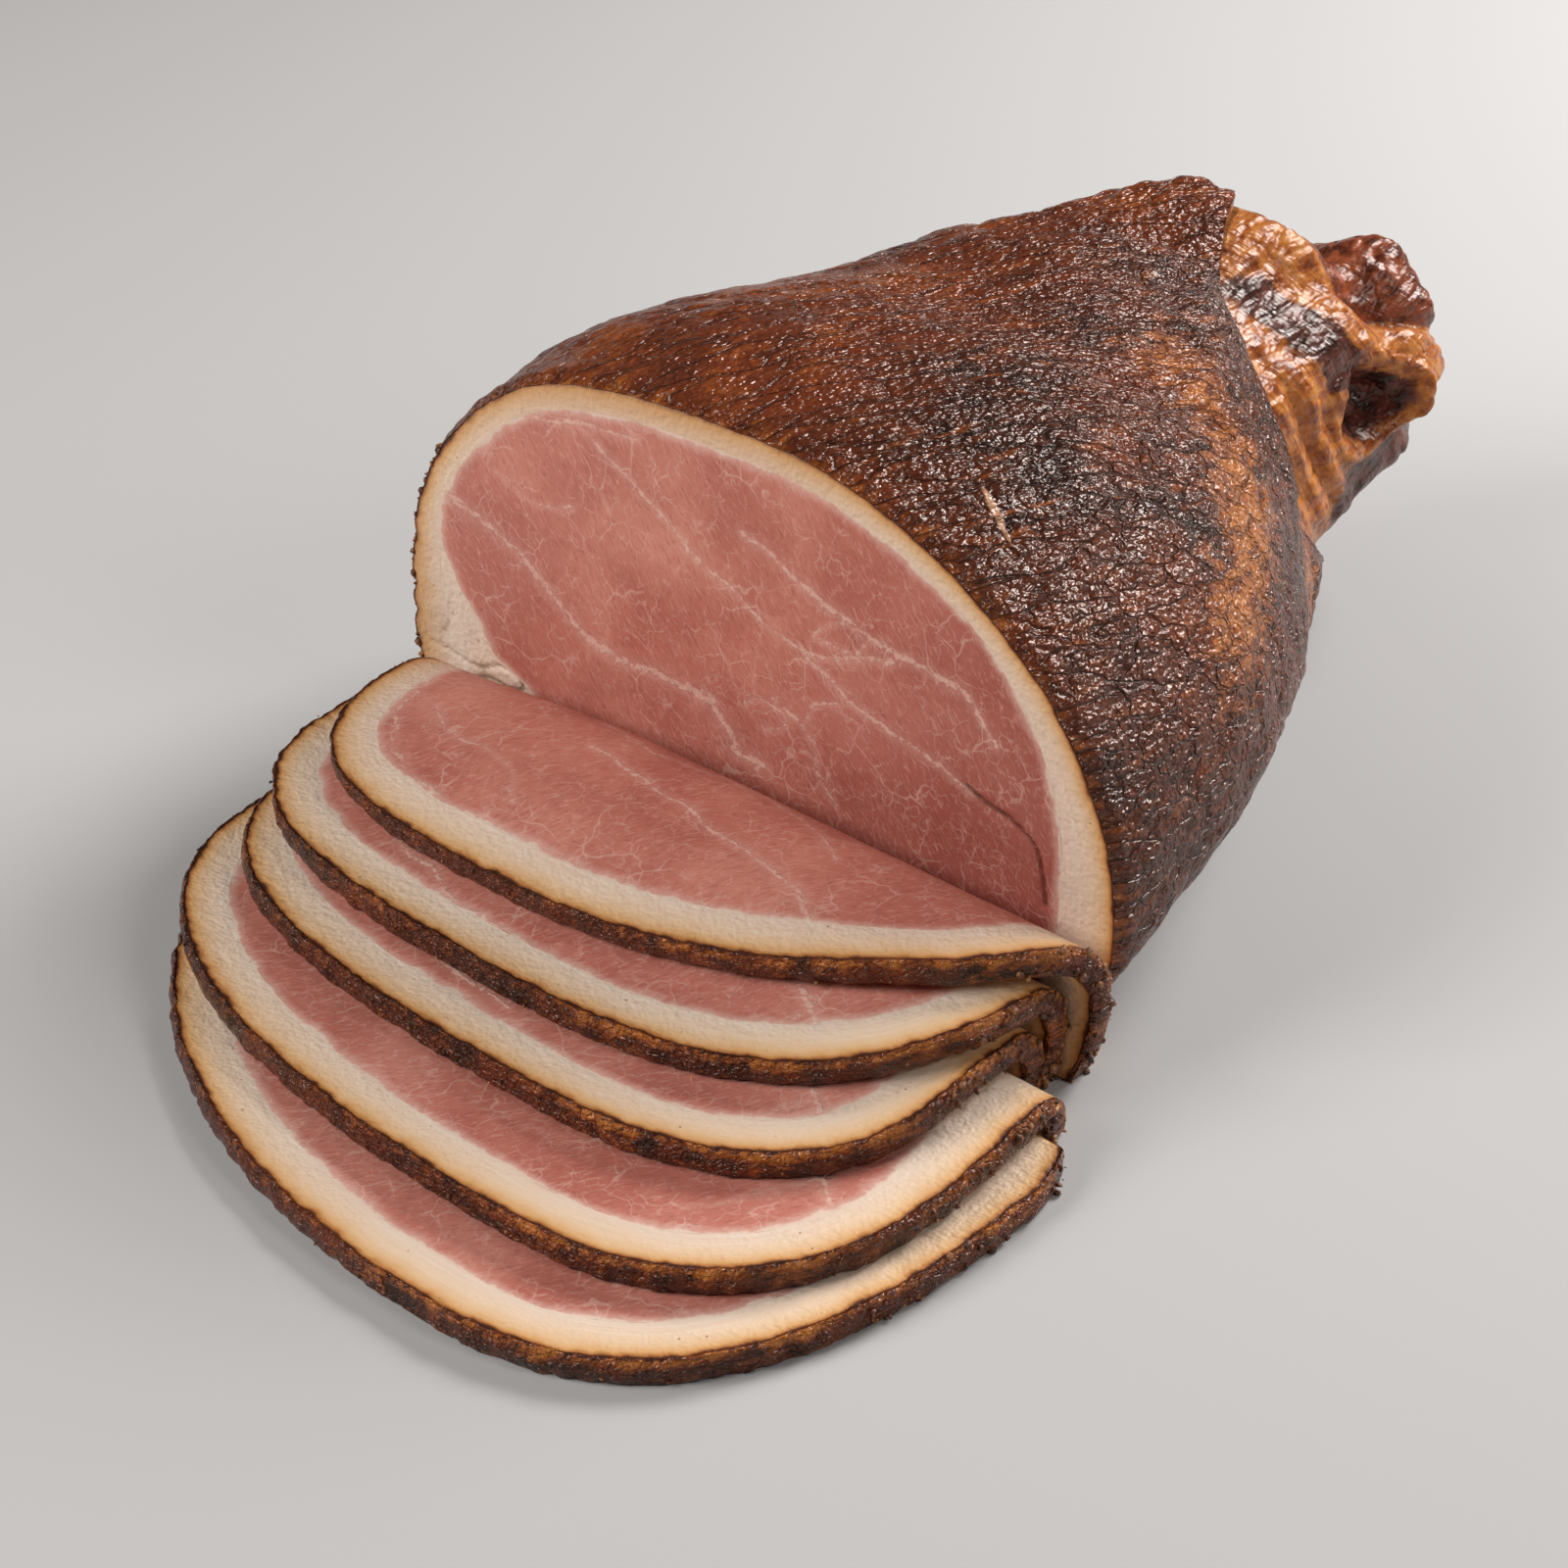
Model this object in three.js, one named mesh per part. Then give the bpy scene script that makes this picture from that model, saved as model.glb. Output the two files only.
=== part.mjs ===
// A smoked ham lying on its side, cut open at its thick end, with five slices
// fanned out in front of the cut in the order in which they were cut.
// Millimetres. X runs across the cut face, +Y goes from the cut face into the
// ham towards the hock, +Z is up and the ham rests on z = 0. The slices lie at
// negative Y, and their distance in front of the cut face is called reach.
import * as THREE from "three";

// Driving dimensions of the ham.
const FACE_HALF_WIDTH = 107.5;
const FACE_TOP = 122;
const SKIN_LENGTH = 202;
const HAM_LENGTH = 240;
const RIM_ROUNDING = 2;
const CLEARANCE = 0.35;

// Fat and rind: thickness over the top, how much broader it is down the right
// side and in the wedge at the lower left, and how much thinner near the hock.
const TOP_FAT = 8.6;
const RIGHT_FAT = 8.5;
const LEFT_WEDGE = 31;
const THINNER_AT_HOCK = 2.6;

// Where the rind is cut back: the middle of each bare stretch and how far it
// spreads round the section, in degrees, and how much shorter the rind is there.
const BARE_STRETCHES = [
  { middle: 35, spread: 75, shorter: 45 },
  { middle: -20, spread: 70, shorter: 30 },
];

// Driving dimensions of the slices.
const SLICE_THICKNESS = 6.5;
const SLICE_PITCH = 7.0;
const CREST_LIFT = 2.2;
const CREST_REACH = 36;
const FIRST_BEND = 3.4;
const LOWEST_SLICE_HEEL = 33;
const SLICE_FAT = 10.5;
const BROADER_RIGHT = 5;
const FOOT_FAT = 2.5;
const SLICE_CLEARANCE = 0.4;
const RIND_BULGE = 0.09;

// How finely the solids are divided.
const AROUND = 56;
const ALONG_RIND = 19;
const ALONG_LINING = 9;
const ALONG_HOCK = 11;
const COURSE_STEPS = 60;
const SLICE_ROWS = 25;
const SLICE_COLUMNS = 6;

// Sections of the ham, one row for each distance from the cut face: distance,
// centre across, half width, level of that centre, height above it, depth below
// it, and how far the top leans to the left. Behind the skin's end they are the
// bare hock's sections with the skin's thickness still added.
const SECTIONS = [
  [0, 0, FACE_HALF_WIDTH, 30, FACE_TOP - 30, 37, 0],
  [45, 0, 102, 43, 80, 47, 0.02],
  [85, 0, 90, 52, 64, 56, 0.08],
  [115, -1, 76, 55, 58, 58, 0.18],
  [145, -2, 58, 56, 56, 56, 0.28],
  [165, -2, 48, 57, 53, 49, 0.28],
  [185, 2, 42, 58, 54, 43, 0.22],
  [199, 6, 39, 58, 52, 39, 0.14],
  [211, 9, 37, 58, 39, 37, 0.05],
  [222, 11, 37, 58, 37, 37, 0],
  [232, 12, 35, 57, 35, 34, 0],
  [237, 12, 29, 57, 29, 28, 0],
  [HAM_LENGTH, 12, 21, 57, 21, 20, 0],
];

// The slices from the lowest to the top one: how far the front edge reaches,
// where across it reaches furthest, how far it spreads to the left and right of
// there, how square each side is, and how far up its length it is widest.
const SLICES = [
  { front: 152, apex: 46, left: 143, right: 77, squareLeft: 2.05, squareRight: 2.6, widest: 16 },
  { front: 129, apex: 42, left: 139, right: 73, squareLeft: 2.4, squareRight: 2.6, widest: 40 },
  { front: 102, apex: 28, left: 119, right: 75, squareLeft: 2.9, squareRight: 2.5, widest: 40 },
  { front: 85, apex: 10, left: 105, right: 93, squareLeft: 3.2, squareRight: 2.2, widest: 36 },
  { front: 69, apex: -10, left: 79, right: 118, squareLeft: 3.2, squareRight: 2.0, widest: 28 },
];

const PINK = new THREE.MeshStandardMaterial({ color: 0xb8706a, roughness: 0.45, metalness: 0 });
const DEEP_PINK = new THREE.MeshStandardMaterial({ color: 0xae6560, roughness: 0.45, metalness: 0 });
const CREAM = new THREE.MeshStandardMaterial({ color: 0xe9cfae, roughness: 0.5, metalness: 0 });
const MAHOGANY = new THREE.MeshStandardMaterial({ color: 0x4a1f12, roughness: 0.38, metalness: 0 });

// A smooth step from 0 at start to 1 at end.
function ease(value, start, end) {
  return THREE.MathUtils.smoothstep((value - start) / (end - start), 0, 1);
}

// A rounded hump of height 1 at the centre, down to 0 at the given distance.
function hump(value, centre, distance) {
  return 1 - ease(Math.abs(value - centre), 0, distance);
}

// A row of numbers at a place between the rows of a table, joined smoothly.
function rowAt(table, place) {
  const last = table.length - 1;
  let low = 0;
  while (low < last - 1 && place > table[low + 1][0]) {
    low += 1;
  }
  const before = table[Math.max(low - 1, 0)];
  const start = table[low];
  const end = table[low + 1];
  const after = table[Math.min(low + 2, last)];
  const span = end[0] - start[0];
  const t = THREE.MathUtils.clamp((place - start[0]) / span, 0, 1);
  return start.map((value, i) => {
    const slopeIn = (end[i] - before[i]) / (end[0] - before[0]);
    const slopeOut = (after[i] - value) / (after[0] - start[0]);
    const rise = end[i] - value;
    return (
      value +
      t * slopeIn * span +
      t * t * (3 * rise - (2 * slopeIn + slopeOut) * span) +
      t * t * t * ((slopeIn + slopeOut) * span - 2 * rise)
    );
  });
}

// Side of a squared circle: cosine or sine raised so that a higher number in
// square gives fuller corners.
function squared(wave, square) {
  return Math.sign(wave) * Math.pow(Math.abs(wave), 2 / square);
}

// A closed geometry from points and faces, with its faces turned outwards.
function closedGeometry(points, faces) {
  let volume = 0;
  for (const [a, b, c] of faces) {
    volume += points[a].dot(new THREE.Vector3().crossVectors(points[b], points[c]));
  }
  const turned = volume < 0 ? faces.map(([a, b, c]) => [a, c, b]) : faces;
  const geometry = new THREE.BufferGeometry().setFromPoints(points);
  geometry.setIndex(turned.flat());
  geometry.computeVertexNormals();
  return geometry;
}

// The faces between two neighbouring closed rings of points.
function bandFaces(first, second, count) {
  const faces = [];
  for (let i = 0; i < count; i += 1) {
    const j = (i + 1) % count;
    faces.push([first + i, first + j, second + j], [first + i, second + j, second + i]);
  }
  return faces;
}

// A body with a hole through it: rings of points whose last joins the first.
function ringBody(rings) {
  const count = rings[0].length;
  const faces = rings.flatMap((ring, k) => bandFaces(k * count, ((k + 1) % rings.length) * count, count));
  return closedGeometry(rings.flat(), faces);
}

// A solid body: rings of points closed by a fan at each end.
function cappedBody(rings, frontCentre, backCentre) {
  const count = rings[0].length;
  const faces = [];
  for (let k = 0; k < rings.length - 1; k += 1) {
    faces.push(...bandFaces(k * count, (k + 1) * count, count));
  }
  const front = rings.length * count;
  const lastRing = (rings.length - 1) * count;
  for (let i = 0; i < count; i += 1) {
    const j = (i + 1) % count;
    faces.push([front, j, i], [front + 1, lastRing + i, lastRing + j]);
  }
  return closedGeometry([...rings.flat(), frontCentre, backCentre], faces);
}

// A slab: a grid of points on its upper side and the same grid on its lower one.
function slabBody(upper, lower) {
  const rows = upper.length;
  const columns = upper[0].length;
  const under = rows * columns;
  const at = (i, j) => i * columns + j;
  const faces = [];
  for (let i = 0; i < rows - 1; i += 1) {
    for (let j = 0; j < columns - 1; j += 1) {
      const [a, b, c, d] = [at(i, j), at(i, j + 1), at(i + 1, j + 1), at(i + 1, j)];
      faces.push([a, b, c], [a, c, d]);
      faces.push([under + a, under + c, under + b], [under + a, under + d, under + c]);
    }
  }
  const edge = aroundGrid(rows, columns).map(([i, j]) => at(i, j));
  edge.forEach((a, n) => {
    const b = edge[(n + 1) % edge.length];
    faces.push([a, under + a, b], [b, under + a, under + b]);
  });
  return closedGeometry([...upper.flat(), ...lower.flat()], faces);
}

// Row and column of each point on the border of a grid, once round.
function aroundGrid(rows, columns) {
  const border = [];
  for (let j = 0; j < columns - 1; j += 1) {
    border.push([0, j]);
  }
  for (let i = 0; i < rows - 1; i += 1) {
    border.push([i, columns - 1]);
  }
  for (let j = columns - 1; j > 0; j -= 1) {
    border.push([rows - 1, j]);
  }
  for (let i = rows - 1; i > 0; i -= 1) {
    border.push([i, 0]);
  }
  return border;
}

// A point of the ham's section, from its outline numbers and an angle that
// starts at the right side and turns over the top.
function sectionPoint([y, centre, halfWidth, level, above, below, lean], angle, square) {
  const height = (Math.sin(angle) < 0 ? below : above) * squared(Math.sin(angle), square);
  const across = halfWidth * squared(Math.cos(angle), square);
  return new THREE.Vector3(centre + across - lean * height, y, level + height);
}

// Where the skin ends. It is cut back on the side that faces right, so that the
// tendons of the hock lie bare there.
function skinEnd(angle) {
  const degrees = THREE.MathUtils.radToDeg(angle);
  const turned = degrees > 180 ? degrees - 360 : degrees;
  return BARE_STRETCHES.reduce(
    (end, bare) => end - bare.shorter * hump(turned, bare.middle, bare.spread),
    SKIN_LENGTH,
  );
}

// Relief fades out close to the table, where the ham's weight presses it flat.
function freeOfTable(height) {
  return ease(height, 2, 16);
}

// Wrinkles of the skin, which deepen towards the hock, and its long soft folds.
function skinRelief(y, angle) {
  const nearHock = ease(y, 90, SKIN_LENGTH);
  const folds = Math.sin(5 * angle + y / 31) + 0.6 * Math.sin(9 * angle - y / 19 + 1);
  const dents = Math.sin(y / 13 + 3 * angle) * Math.sin(y / 23 - 4 * angle + 2);
  return (0.4 + 1.2 * nearHock) * folds + 0.7 * dents;
}

// Knots of tendon, the bony cap and the hollow beside it on the bare hock.
function hockRelief(y, angle) {
  const along = y - SKIN_LENGTH;
  const side = angle > Math.PI ? angle - 2 * Math.PI : angle;
  const cap = 3 * hump(along, 30, 15) * hump(side, 1.4, 1.1);
  const waist = -3 * hump(along, 10, 14) * hump(side, 1.6, 1.6);
  const hollow = -10 * hump(along, 30, 15) * hump(side, -0.3, 0.75);
  return cap + waist + hollow;
}

// The ham's outside at a distance from the cut face. Points that would sink
// below the table are flattened on to it.
function surfacePoint(y, angle) {
  const row = rowAt(SECTIONS, y);
  const leftSquare = 2.55 + 0.1 * ease(y, 0, 30) - 0.3 * ease(y, 50, 120);
  const square = Math.cos(angle) < 0 ? leftSquare : 2.2;
  const point = sectionPoint(row, angle, THREE.MathUtils.lerp(square, 2, ease(y, 185, 225)));
  const middle = new THREE.Vector3(row[1], y, row[3] + 12 * (1 - ease(y, 60, 130)));
  const outward = point.clone().sub(middle).normalize();
  const relief = skinRelief(y, angle) + hockRelief(y, angle);
  point.addScaledVector(outward, relief * freeOfTable(point.z));
  point.z = Math.max(point.z, 0);
  return { point, middle };
}

// The skin's outside, a share of the way from the cut face to the skin's end,
// with both rims rounded off.
function skinPoint(share, angle) {
  const end = skinEnd(angle);
  const y = share * end;
  const { point, middle } = surfacePoint(y, angle);
  const rim = Math.pow(1 - ease(y, 0, 5), 2) + ease(y, end - 6, end);
  const inward = middle.sub(point).normalize();
  point.addScaledVector(inward, RIM_ROUNDING * rim * freeOfTable(point.z));
  return point;
}

// Thickness of fat and rind round the section, which evens out to the hock.
function fatThickness(y, angle) {
  const degrees = THREE.MathUtils.radToDeg(angle);
  const right = RIGHT_FAT * (hump(degrees, -5, 55) + hump(degrees, 355, 55));
  const wedge = LEFT_WEDGE * hump(degrees, 194, 34);
  const towardsHock = ease(y, 10, 140);
  return TOP_FAT + (right + wedge) * (1 - towardsHock) - THINNER_AT_HOCK * towardsHock;
}

// A point below the outside by the fat's thickness and an extra depth.
function underFatPoint(y, angle, extra) {
  const { point, middle } = surfacePoint(y, angle);
  const inward = middle.sub(point);
  const depth = Math.min(fatThickness(y, angle) + extra, inward.length() * 0.8);
  return point.addScaledVector(inward.normalize(), depth);
}

// Ring of points round the ham at one distance from the cut face.
function ringAt(pointOf) {
  return Array.from({ length: AROUND }, (unused, i) => pointOf((i / AROUND) * 2 * Math.PI));
}

// Evenly spaced places with closer ones at both ends.
function places(start, end, count) {
  return Array.from({ length: count + 1 }, (unused, i) => {
    const t = i / count;
    return start + (end - start) * (0.75 * t + 0.25 * ease(t, 0, 1));
  });
}

// Rind and fat: a sleeve from the cut face to the hock, open at both ends.
function hamFat() {
  const outer = [0, ...places(0.014, 0.975, ALONG_RIND), 1];
  const inner = places(0, 0.995, ALONG_LINING).reverse();
  return ringBody([
    ...outer.map((share) => ringAt((angle) => skinPoint(share, angle))),
    ...inner.map((share) => ringAt((angle) => underFatPoint(share * skinEnd(angle), angle, 0))),
  ]);
}

// The meat: a core that fills the sleeve and comes out of it as the hock.
function hamLean() {
  const inside = places(0, 0.995, ALONG_LINING).map((share) =>
    ringAt((angle) => underFatPoint(share * skinEnd(angle), angle, CLEARANCE)),
  );
  const outside = places(0.06, 1, ALONG_HOCK).map((share) =>
    ringAt((angle) => {
      const start = skinEnd(angle);
      return underFatPoint(start + share * (HAM_LENGTH - start), angle, CLEARANCE);
    }),
  );
  const frontCentre = new THREE.Vector3(0, 0, 60);
  const backCentre = new THREE.Vector3(12, HAM_LENGTH - 3, 56);
  return cappedBody([...inside, ...outside].reverse(), backCentre, frontCentre);
}

// Share of the crest's lift that is left at a reach: all of it over the crest,
// none where the slices lie flat on each other further out.
function nearCrest(reach) {
  return 1 - ease(reach, CREST_REACH + 4, CREST_REACH + 46);
}

// The course of a slice seen from its side, from its foot near the cut face over
// the crest and down to its front edge: points with reach and height.
function sliceCourse(k) {
  const heightAt = (reach) => SLICE_THICKNESS / 2 + k * (SLICE_PITCH + CREST_LIFT * nearCrest(reach));
  const course = [];
  if (k > 0) {
    const bend = FIRST_BEND + k * SLICE_PITCH;
    const top = heightAt(CREST_REACH);
    const square = 1.9 + 0.5 * k;
    for (let i = 0; i < COURSE_STEPS; i += 1) {
      const angle = (i / COURSE_STEPS) * (Math.PI / 2);
      const back = bend * squared(Math.cos(angle), square);
      course.push(new THREE.Vector2(CREST_REACH - back, top * squared(Math.sin(angle), square)));
    }
  }
  const start = k > 0 ? CREST_REACH : LOWEST_SLICE_HEEL;
  for (let i = 0; i <= COURSE_STEPS; i += 1) {
    const reach = start + ((SLICES[k].front - start) * i) / COURSE_STEPS;
    course.push(new THREE.Vector2(reach, heightAt(reach)));
  }
  return course;
}

// Walks along a course: returns the place and the upward normal at a distance
// from the foot, and knows the whole length.
function courseWalker(course) {
  const lengths = [0];
  for (let i = 1; i < course.length; i += 1) {
    lengths.push(lengths[i - 1] + course[i].distanceTo(course[i - 1]));
  }
  const total = lengths[lengths.length - 1];
  const at = (distance) => {
    const wanted = THREE.MathUtils.clamp(distance, 0, total);
    let i = 1;
    while (i < course.length - 1 && lengths[i] < wanted) {
      i += 1;
    }
    const t = (wanted - lengths[i - 1]) / (lengths[i] - lengths[i - 1]);
    return new THREE.Vector2().lerpVectors(course[i - 1], course[i], t);
  };
  const normalAt = (distance) => {
    const nearby = 1.5;
    const along = at(distance + nearby).sub(at(distance - nearby));
    return new THREE.Vector2(-along.y, along.x).normalize();
  };
  return { total, at, normalAt };
}

// Half width of a slice on one side, at a distance from its foot.
function sliceHalfWidth(distance, total, side, square, widest) {
  if (distance < widest) return side * (1 - 0.05 * Math.pow(1 - distance / widest, 2));
  const share = (distance - widest) / (total - widest);
  return side * Math.pow(Math.max(1 - Math.pow(share, square), 0), 1 / square);
}

// The slice laid out flat, as a grid of points across and along it. Its rows lie
// closer together towards the front, where the outline turns, and the last one
// stops just short of the outline's tip, so that it has some width.
function sliceSheet(slice, total) {
  const lastTurn = 0.975 * (Math.PI / 2);
  const tip = 0.9965 * total;
  const sheet = [];
  for (let i = 0; i <= SLICE_ROWS; i += 1) {
    const step = i / SLICE_ROWS;
    const closer = Math.sin(step * lastTurn) / Math.sin(lastTurn);
    const along = total * (0.35 * step + 0.65 * closer);
    const kept = Math.min(along, tip);
    const left = sliceHalfWidth(kept, total, slice.left, slice.squareLeft, slice.widest);
    const right = sliceHalfWidth(kept, total, slice.right, slice.squareRight, slice.widest);
    const row = [];
    for (let j = 0; j <= SLICE_COLUMNS; j += 1) {
      const across = slice.apex - left + ((left + right) * j) / SLICE_COLUMNS;
      row.push(new THREE.Vector2(across, i === SLICE_ROWS ? along : kept));
    }
    sheet.push(row);
  }
  return sheet;
}

// Thickness of a slice's fat at a point of its outline: it thins to the foot on
// the left, and grows broader to the foot on the right.
function sliceFatThickness(point, slice, total) {
  if (point.x > slice.apex) {
    return SLICE_FAT + BROADER_RIGHT * (1 - ease(point.y, 0.1 * total, 0.6 * total));
  }
  return THREE.MathUtils.lerp(FOOT_FAT, SLICE_FAT, ease(point.y, 2, 0.25 * total));
}

// Points of a slice's closed outline moved inwards by the fat's thickness, and
// by a thin layer along the foot.
function inset(outline, extra, slice, total) {
  const foot = outline.filter((point) => point.y === 0).map((point) => point.x);
  const farLeft = Math.min(...foot) + FOOT_FAT + extra;
  const farRight = Math.max(...foot) - SLICE_FAT - BROADER_RIGHT - extra;
  return outline.map((point, n) => {
    if (point.y === 0) {
      return new THREE.Vector2(THREE.MathUtils.clamp(point.x, farLeft, farRight), FOOT_FAT + extra);
    }
    const before = outline[(n + outline.length - 1) % outline.length];
    const after = outline[(n + 1) % outline.length];
    const arriving = point.clone().sub(before).normalize();
    const along = after.clone().sub(point).normalize().add(arriving).normalize();
    const inward = new THREE.Vector2(-along.y, along.x);
    return point.clone().addScaledVector(inward, sliceFatThickness(point, slice, total) + extra);
  });
}

// Fills an outline, given point by point round a grid's border, with the grid.
function gridInside(outline, rows, columns) {
  const grid = Array.from({ length: rows }, () => new Array(columns));
  aroundGrid(rows, columns).forEach(([i, j], n) => {
    grid[i][j] = outline[n];
  });
  for (let i = 1; i < rows - 1; i += 1) {
    for (let j = 1; j < columns - 1; j += 1) {
      grid[i][j] = grid[i][0].clone().lerp(grid[i][columns - 1], j / (columns - 1));
    }
  }
  return grid;
}

// Lean and fat of one slice, bent along the slice's course.
function sliceBodies(k) {
  const slice = SLICES[k];
  const walker = courseWalker(sliceCourse(k));
  const sheet = sliceSheet(slice, walker.total);
  const rows = sheet.length;
  const columns = sheet[0].length;
  const outline = aroundGrid(rows, columns).map(([i, j]) => sheet[i][j]);
  const crestHeight = SLICE_THICKNESS / 2 + k * (SLICE_PITCH + CREST_LIFT);
  // Lays a point of the flat sheet on the course: side is 1 on top, -1 below.
  const place = (point, side) => {
    const spot = walker.at(point.y);
    const normal = walker.normalAt(point.y);
    const half = side * (SLICE_THICKNESS / 2);
    const sag = 0.7 * ease(-point.x, 15, 95) * nearCrest(spot.x);
    const kept = 1 - (sag * k * CREST_LIFT) / crestHeight;
    const height = (spot.y + normal.y * half) * kept;
    return new THREE.Vector3(point.x, -(spot.x + normal.x * half), Math.max(height, 0));
  };
  const core = inset(outline, SLICE_CLEARANCE, slice, walker.total);
  const grid = gridInside(core, rows, columns);
  const lean = slabBody(
    grid.map((row) => row.map((point) => place(point, 1))),
    grid.map((row) => row.map((point) => place(point, -1))),
  );
  const inner = inset(outline, 0, slice, walker.total);
  // The rind's edge is uneven, and a little fuller halfway down.
  const rough = outline.map((point, n) => {
    const wave = 0.5 * Math.sin(point.x / 5 + 2 * k) + 0.4 * Math.sin(n * 1.9 + k);
    return inner[n].clone().lerp(point, 1 + (wave * ease(point.y, 4, 20)) / SLICE_FAT);
  });
  const fat = ringBody([
    rough.map((point) => place(point, 1)),
    rough.map((point, n) => place(point.clone().lerp(inner[n], -RIND_BULGE), 0)),
    rough.map((point) => place(point, -1)),
    inner.map((point) => place(point, -1)),
    inner.map((point) => place(point, 1)),
  ]);
  return { lean, fat };
}

function named(name, geometry, material) {
  const mesh = new THREE.Mesh(geometry, material);
  mesh.name = name;
  return mesh;
}

const ham = new THREE.Group();
ham.add(named("ham_fat", hamFat(), MAHOGANY), named("ham_lean", hamLean(), DEEP_PINK));
SLICES.forEach((slice, k) => {
  const { lean, fat } = sliceBodies(k);
  ham.add(named(`slice_${k + 1}_lean`, lean, PINK), named(`slice_${k + 1}_fat`, fat, CREAM));
});

// The origin is the middle of the foot of the whole thing's box.
const box = new THREE.Box3().setFromObject(ham);
const middle = box.getCenter(new THREE.Vector3());
ham.position.set(-middle.x, -middle.y, -box.min.z);

export default ham;
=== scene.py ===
# %% [markdown]
# # A smoked ham with five carved slices
# The real thing is a cured leg of pork, smoked until its rind is dark and leathery,
# cut open across its thick end, with five slices laid in front of the cut.
# The frame gives each solid at its real size. Here every solid is replaced by a
# fine mesh that follows the same formulas, so that it can carry wrinkles, crumbs,
# seams of fat and glossy tendon. Sizes are in millimetres until a mesh is placed.

import math

import bpy
import numpy as np
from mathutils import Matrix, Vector, noise


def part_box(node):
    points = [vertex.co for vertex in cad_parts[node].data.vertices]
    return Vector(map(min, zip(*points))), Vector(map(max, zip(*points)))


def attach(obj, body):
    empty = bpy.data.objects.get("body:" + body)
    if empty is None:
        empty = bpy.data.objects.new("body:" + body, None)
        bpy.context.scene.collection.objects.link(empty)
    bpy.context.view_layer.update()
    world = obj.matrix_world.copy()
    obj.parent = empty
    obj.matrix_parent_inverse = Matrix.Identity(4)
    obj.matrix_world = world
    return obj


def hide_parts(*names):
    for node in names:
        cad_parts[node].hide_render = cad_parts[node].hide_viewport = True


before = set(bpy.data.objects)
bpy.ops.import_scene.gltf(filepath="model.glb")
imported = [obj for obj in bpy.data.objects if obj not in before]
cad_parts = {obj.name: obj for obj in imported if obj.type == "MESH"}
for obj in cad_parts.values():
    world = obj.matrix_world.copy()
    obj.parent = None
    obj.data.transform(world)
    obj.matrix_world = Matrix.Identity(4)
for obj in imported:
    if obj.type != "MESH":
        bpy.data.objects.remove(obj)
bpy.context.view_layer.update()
print("solids in the frame:", len(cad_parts))

# %% [markdown]
# ## Driving sizes
# The cut face stands at y = 0 of the ham's own measures, the hock points to +y,
# and the slices lie on the other side, at a distance called reach. One table
# gives the ham's section at each distance from the cut.

# %% Driving sizes, in mm
MM = 0.001
FACE_HALF_WIDTH = 107.5
FACE_TOP = 122
SKIN_LENGTH = 202
HAM_LENGTH = 240
RIM_ROUNDING = 2
CLEARANCE = 0.35
SLICE_THICKNESS = 6.5
SLICE_PITCH = 7.0
CREST_LIFT = 2.2
CREST_REACH = 36
FIRST_BEND = 3.4
LOWEST_SLICE_HEEL = 33
SLICE_FAT = 10.5
FOOT_FAT = 2.5
BROADER_RIGHT = 5

# distance from the cut, centre across, half width, level of the centre, height
# above it, depth below it, lean of the top to the left
SECTIONS = np.array([
    [0, 0, FACE_HALF_WIDTH, 30, FACE_TOP - 30, 37, 0],
    [45, 0, 102, 43, 80, 47, 0.02],
    [85, 0, 90, 52, 64, 56, 0.08],
    [115, -1, 76, 55, 58, 58, 0.18],
    [145, -2, 58, 56, 56, 56, 0.28],
    [165, -2, 48, 57, 53, 49, 0.28],
    [185, 2, 42, 58, 54, 43, 0.22],
    [199, 6, 39, 58, 52, 39, 0.14],
    [211, 9, 37, 58, 39, 37, 0.05],
    [222, 11, 37, 58, 37, 37, 0],
    [232, 12, 35, 57, 35, 34, 0],
    [237, 12, 29, 57, 29, 28, 0],
    [HAM_LENGTH, 12, 21, 57, 21, 20, 0],
])

# The slices from the lowest to the top one: reach of the front edge, where it
# reaches furthest, spread to the left and right, squareness of each side, and
# how far from the foot the slice is widest.
SLICES = [
    dict(front=152, apex=46, left=143, right=77, square_left=2.05, square_right=2.6, widest=16),
    dict(front=129, apex=42, left=139, right=73, square_left=2.4, square_right=2.6, widest=40),
    dict(front=102, apex=28, left=119, right=75, square_left=2.9, square_right=2.5, widest=40),
    dict(front=85, apex=10, left=105, right=93, square_left=3.2, square_right=2.2, widest=36),
    dict(front=69, apex=-10, left=79, right=118, square_left=3.2, square_right=2.0, widest=28),
]
print("slices:", len(SLICES), "ham length:", HAM_LENGTH, "mm")

# %% [markdown]
# ## Small tools for shapes
# A smooth step, a rounded hump and soft noise do most of the shaping. The noise
# is Blender's own and always gives the same value at the same place, so that the
# ham comes out the same each time.

# %% Steps, humps and noise
def ease(value, start, end):
    """Smooth step from 0 at start to 1 at end."""
    t = np.clip((value - start) / (end - start), 0, 1)
    return t * t * (3 - 2 * t)


def hump(value, centre, distance):
    """Rounded hump of height 1 at the centre, 0 at the given distance from it."""
    return 1 - ease(np.abs(value - centre), 0, distance)


def soft_noise(points, size, seed=0.0):
    """Noise from about -1 to 1 at points in mm, its bumps about size mm across."""
    flat = (points / np.asarray(size, float) + 37.7 * seed).reshape(-1, 3)
    values = np.array([noise.noise(Vector(p)) for p in flat.tolist()])
    return values.reshape(points.shape[:-1])


def creases(points, size, width, seed=0.0):
    """Narrow valleys, -1 at their bottom, along the lines where a noise is zero."""
    return -np.exp(-((soft_noise(points, size, seed) / width) ** 2))


print("ease at the middle:", ease(0.5, 0, 1))

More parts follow.
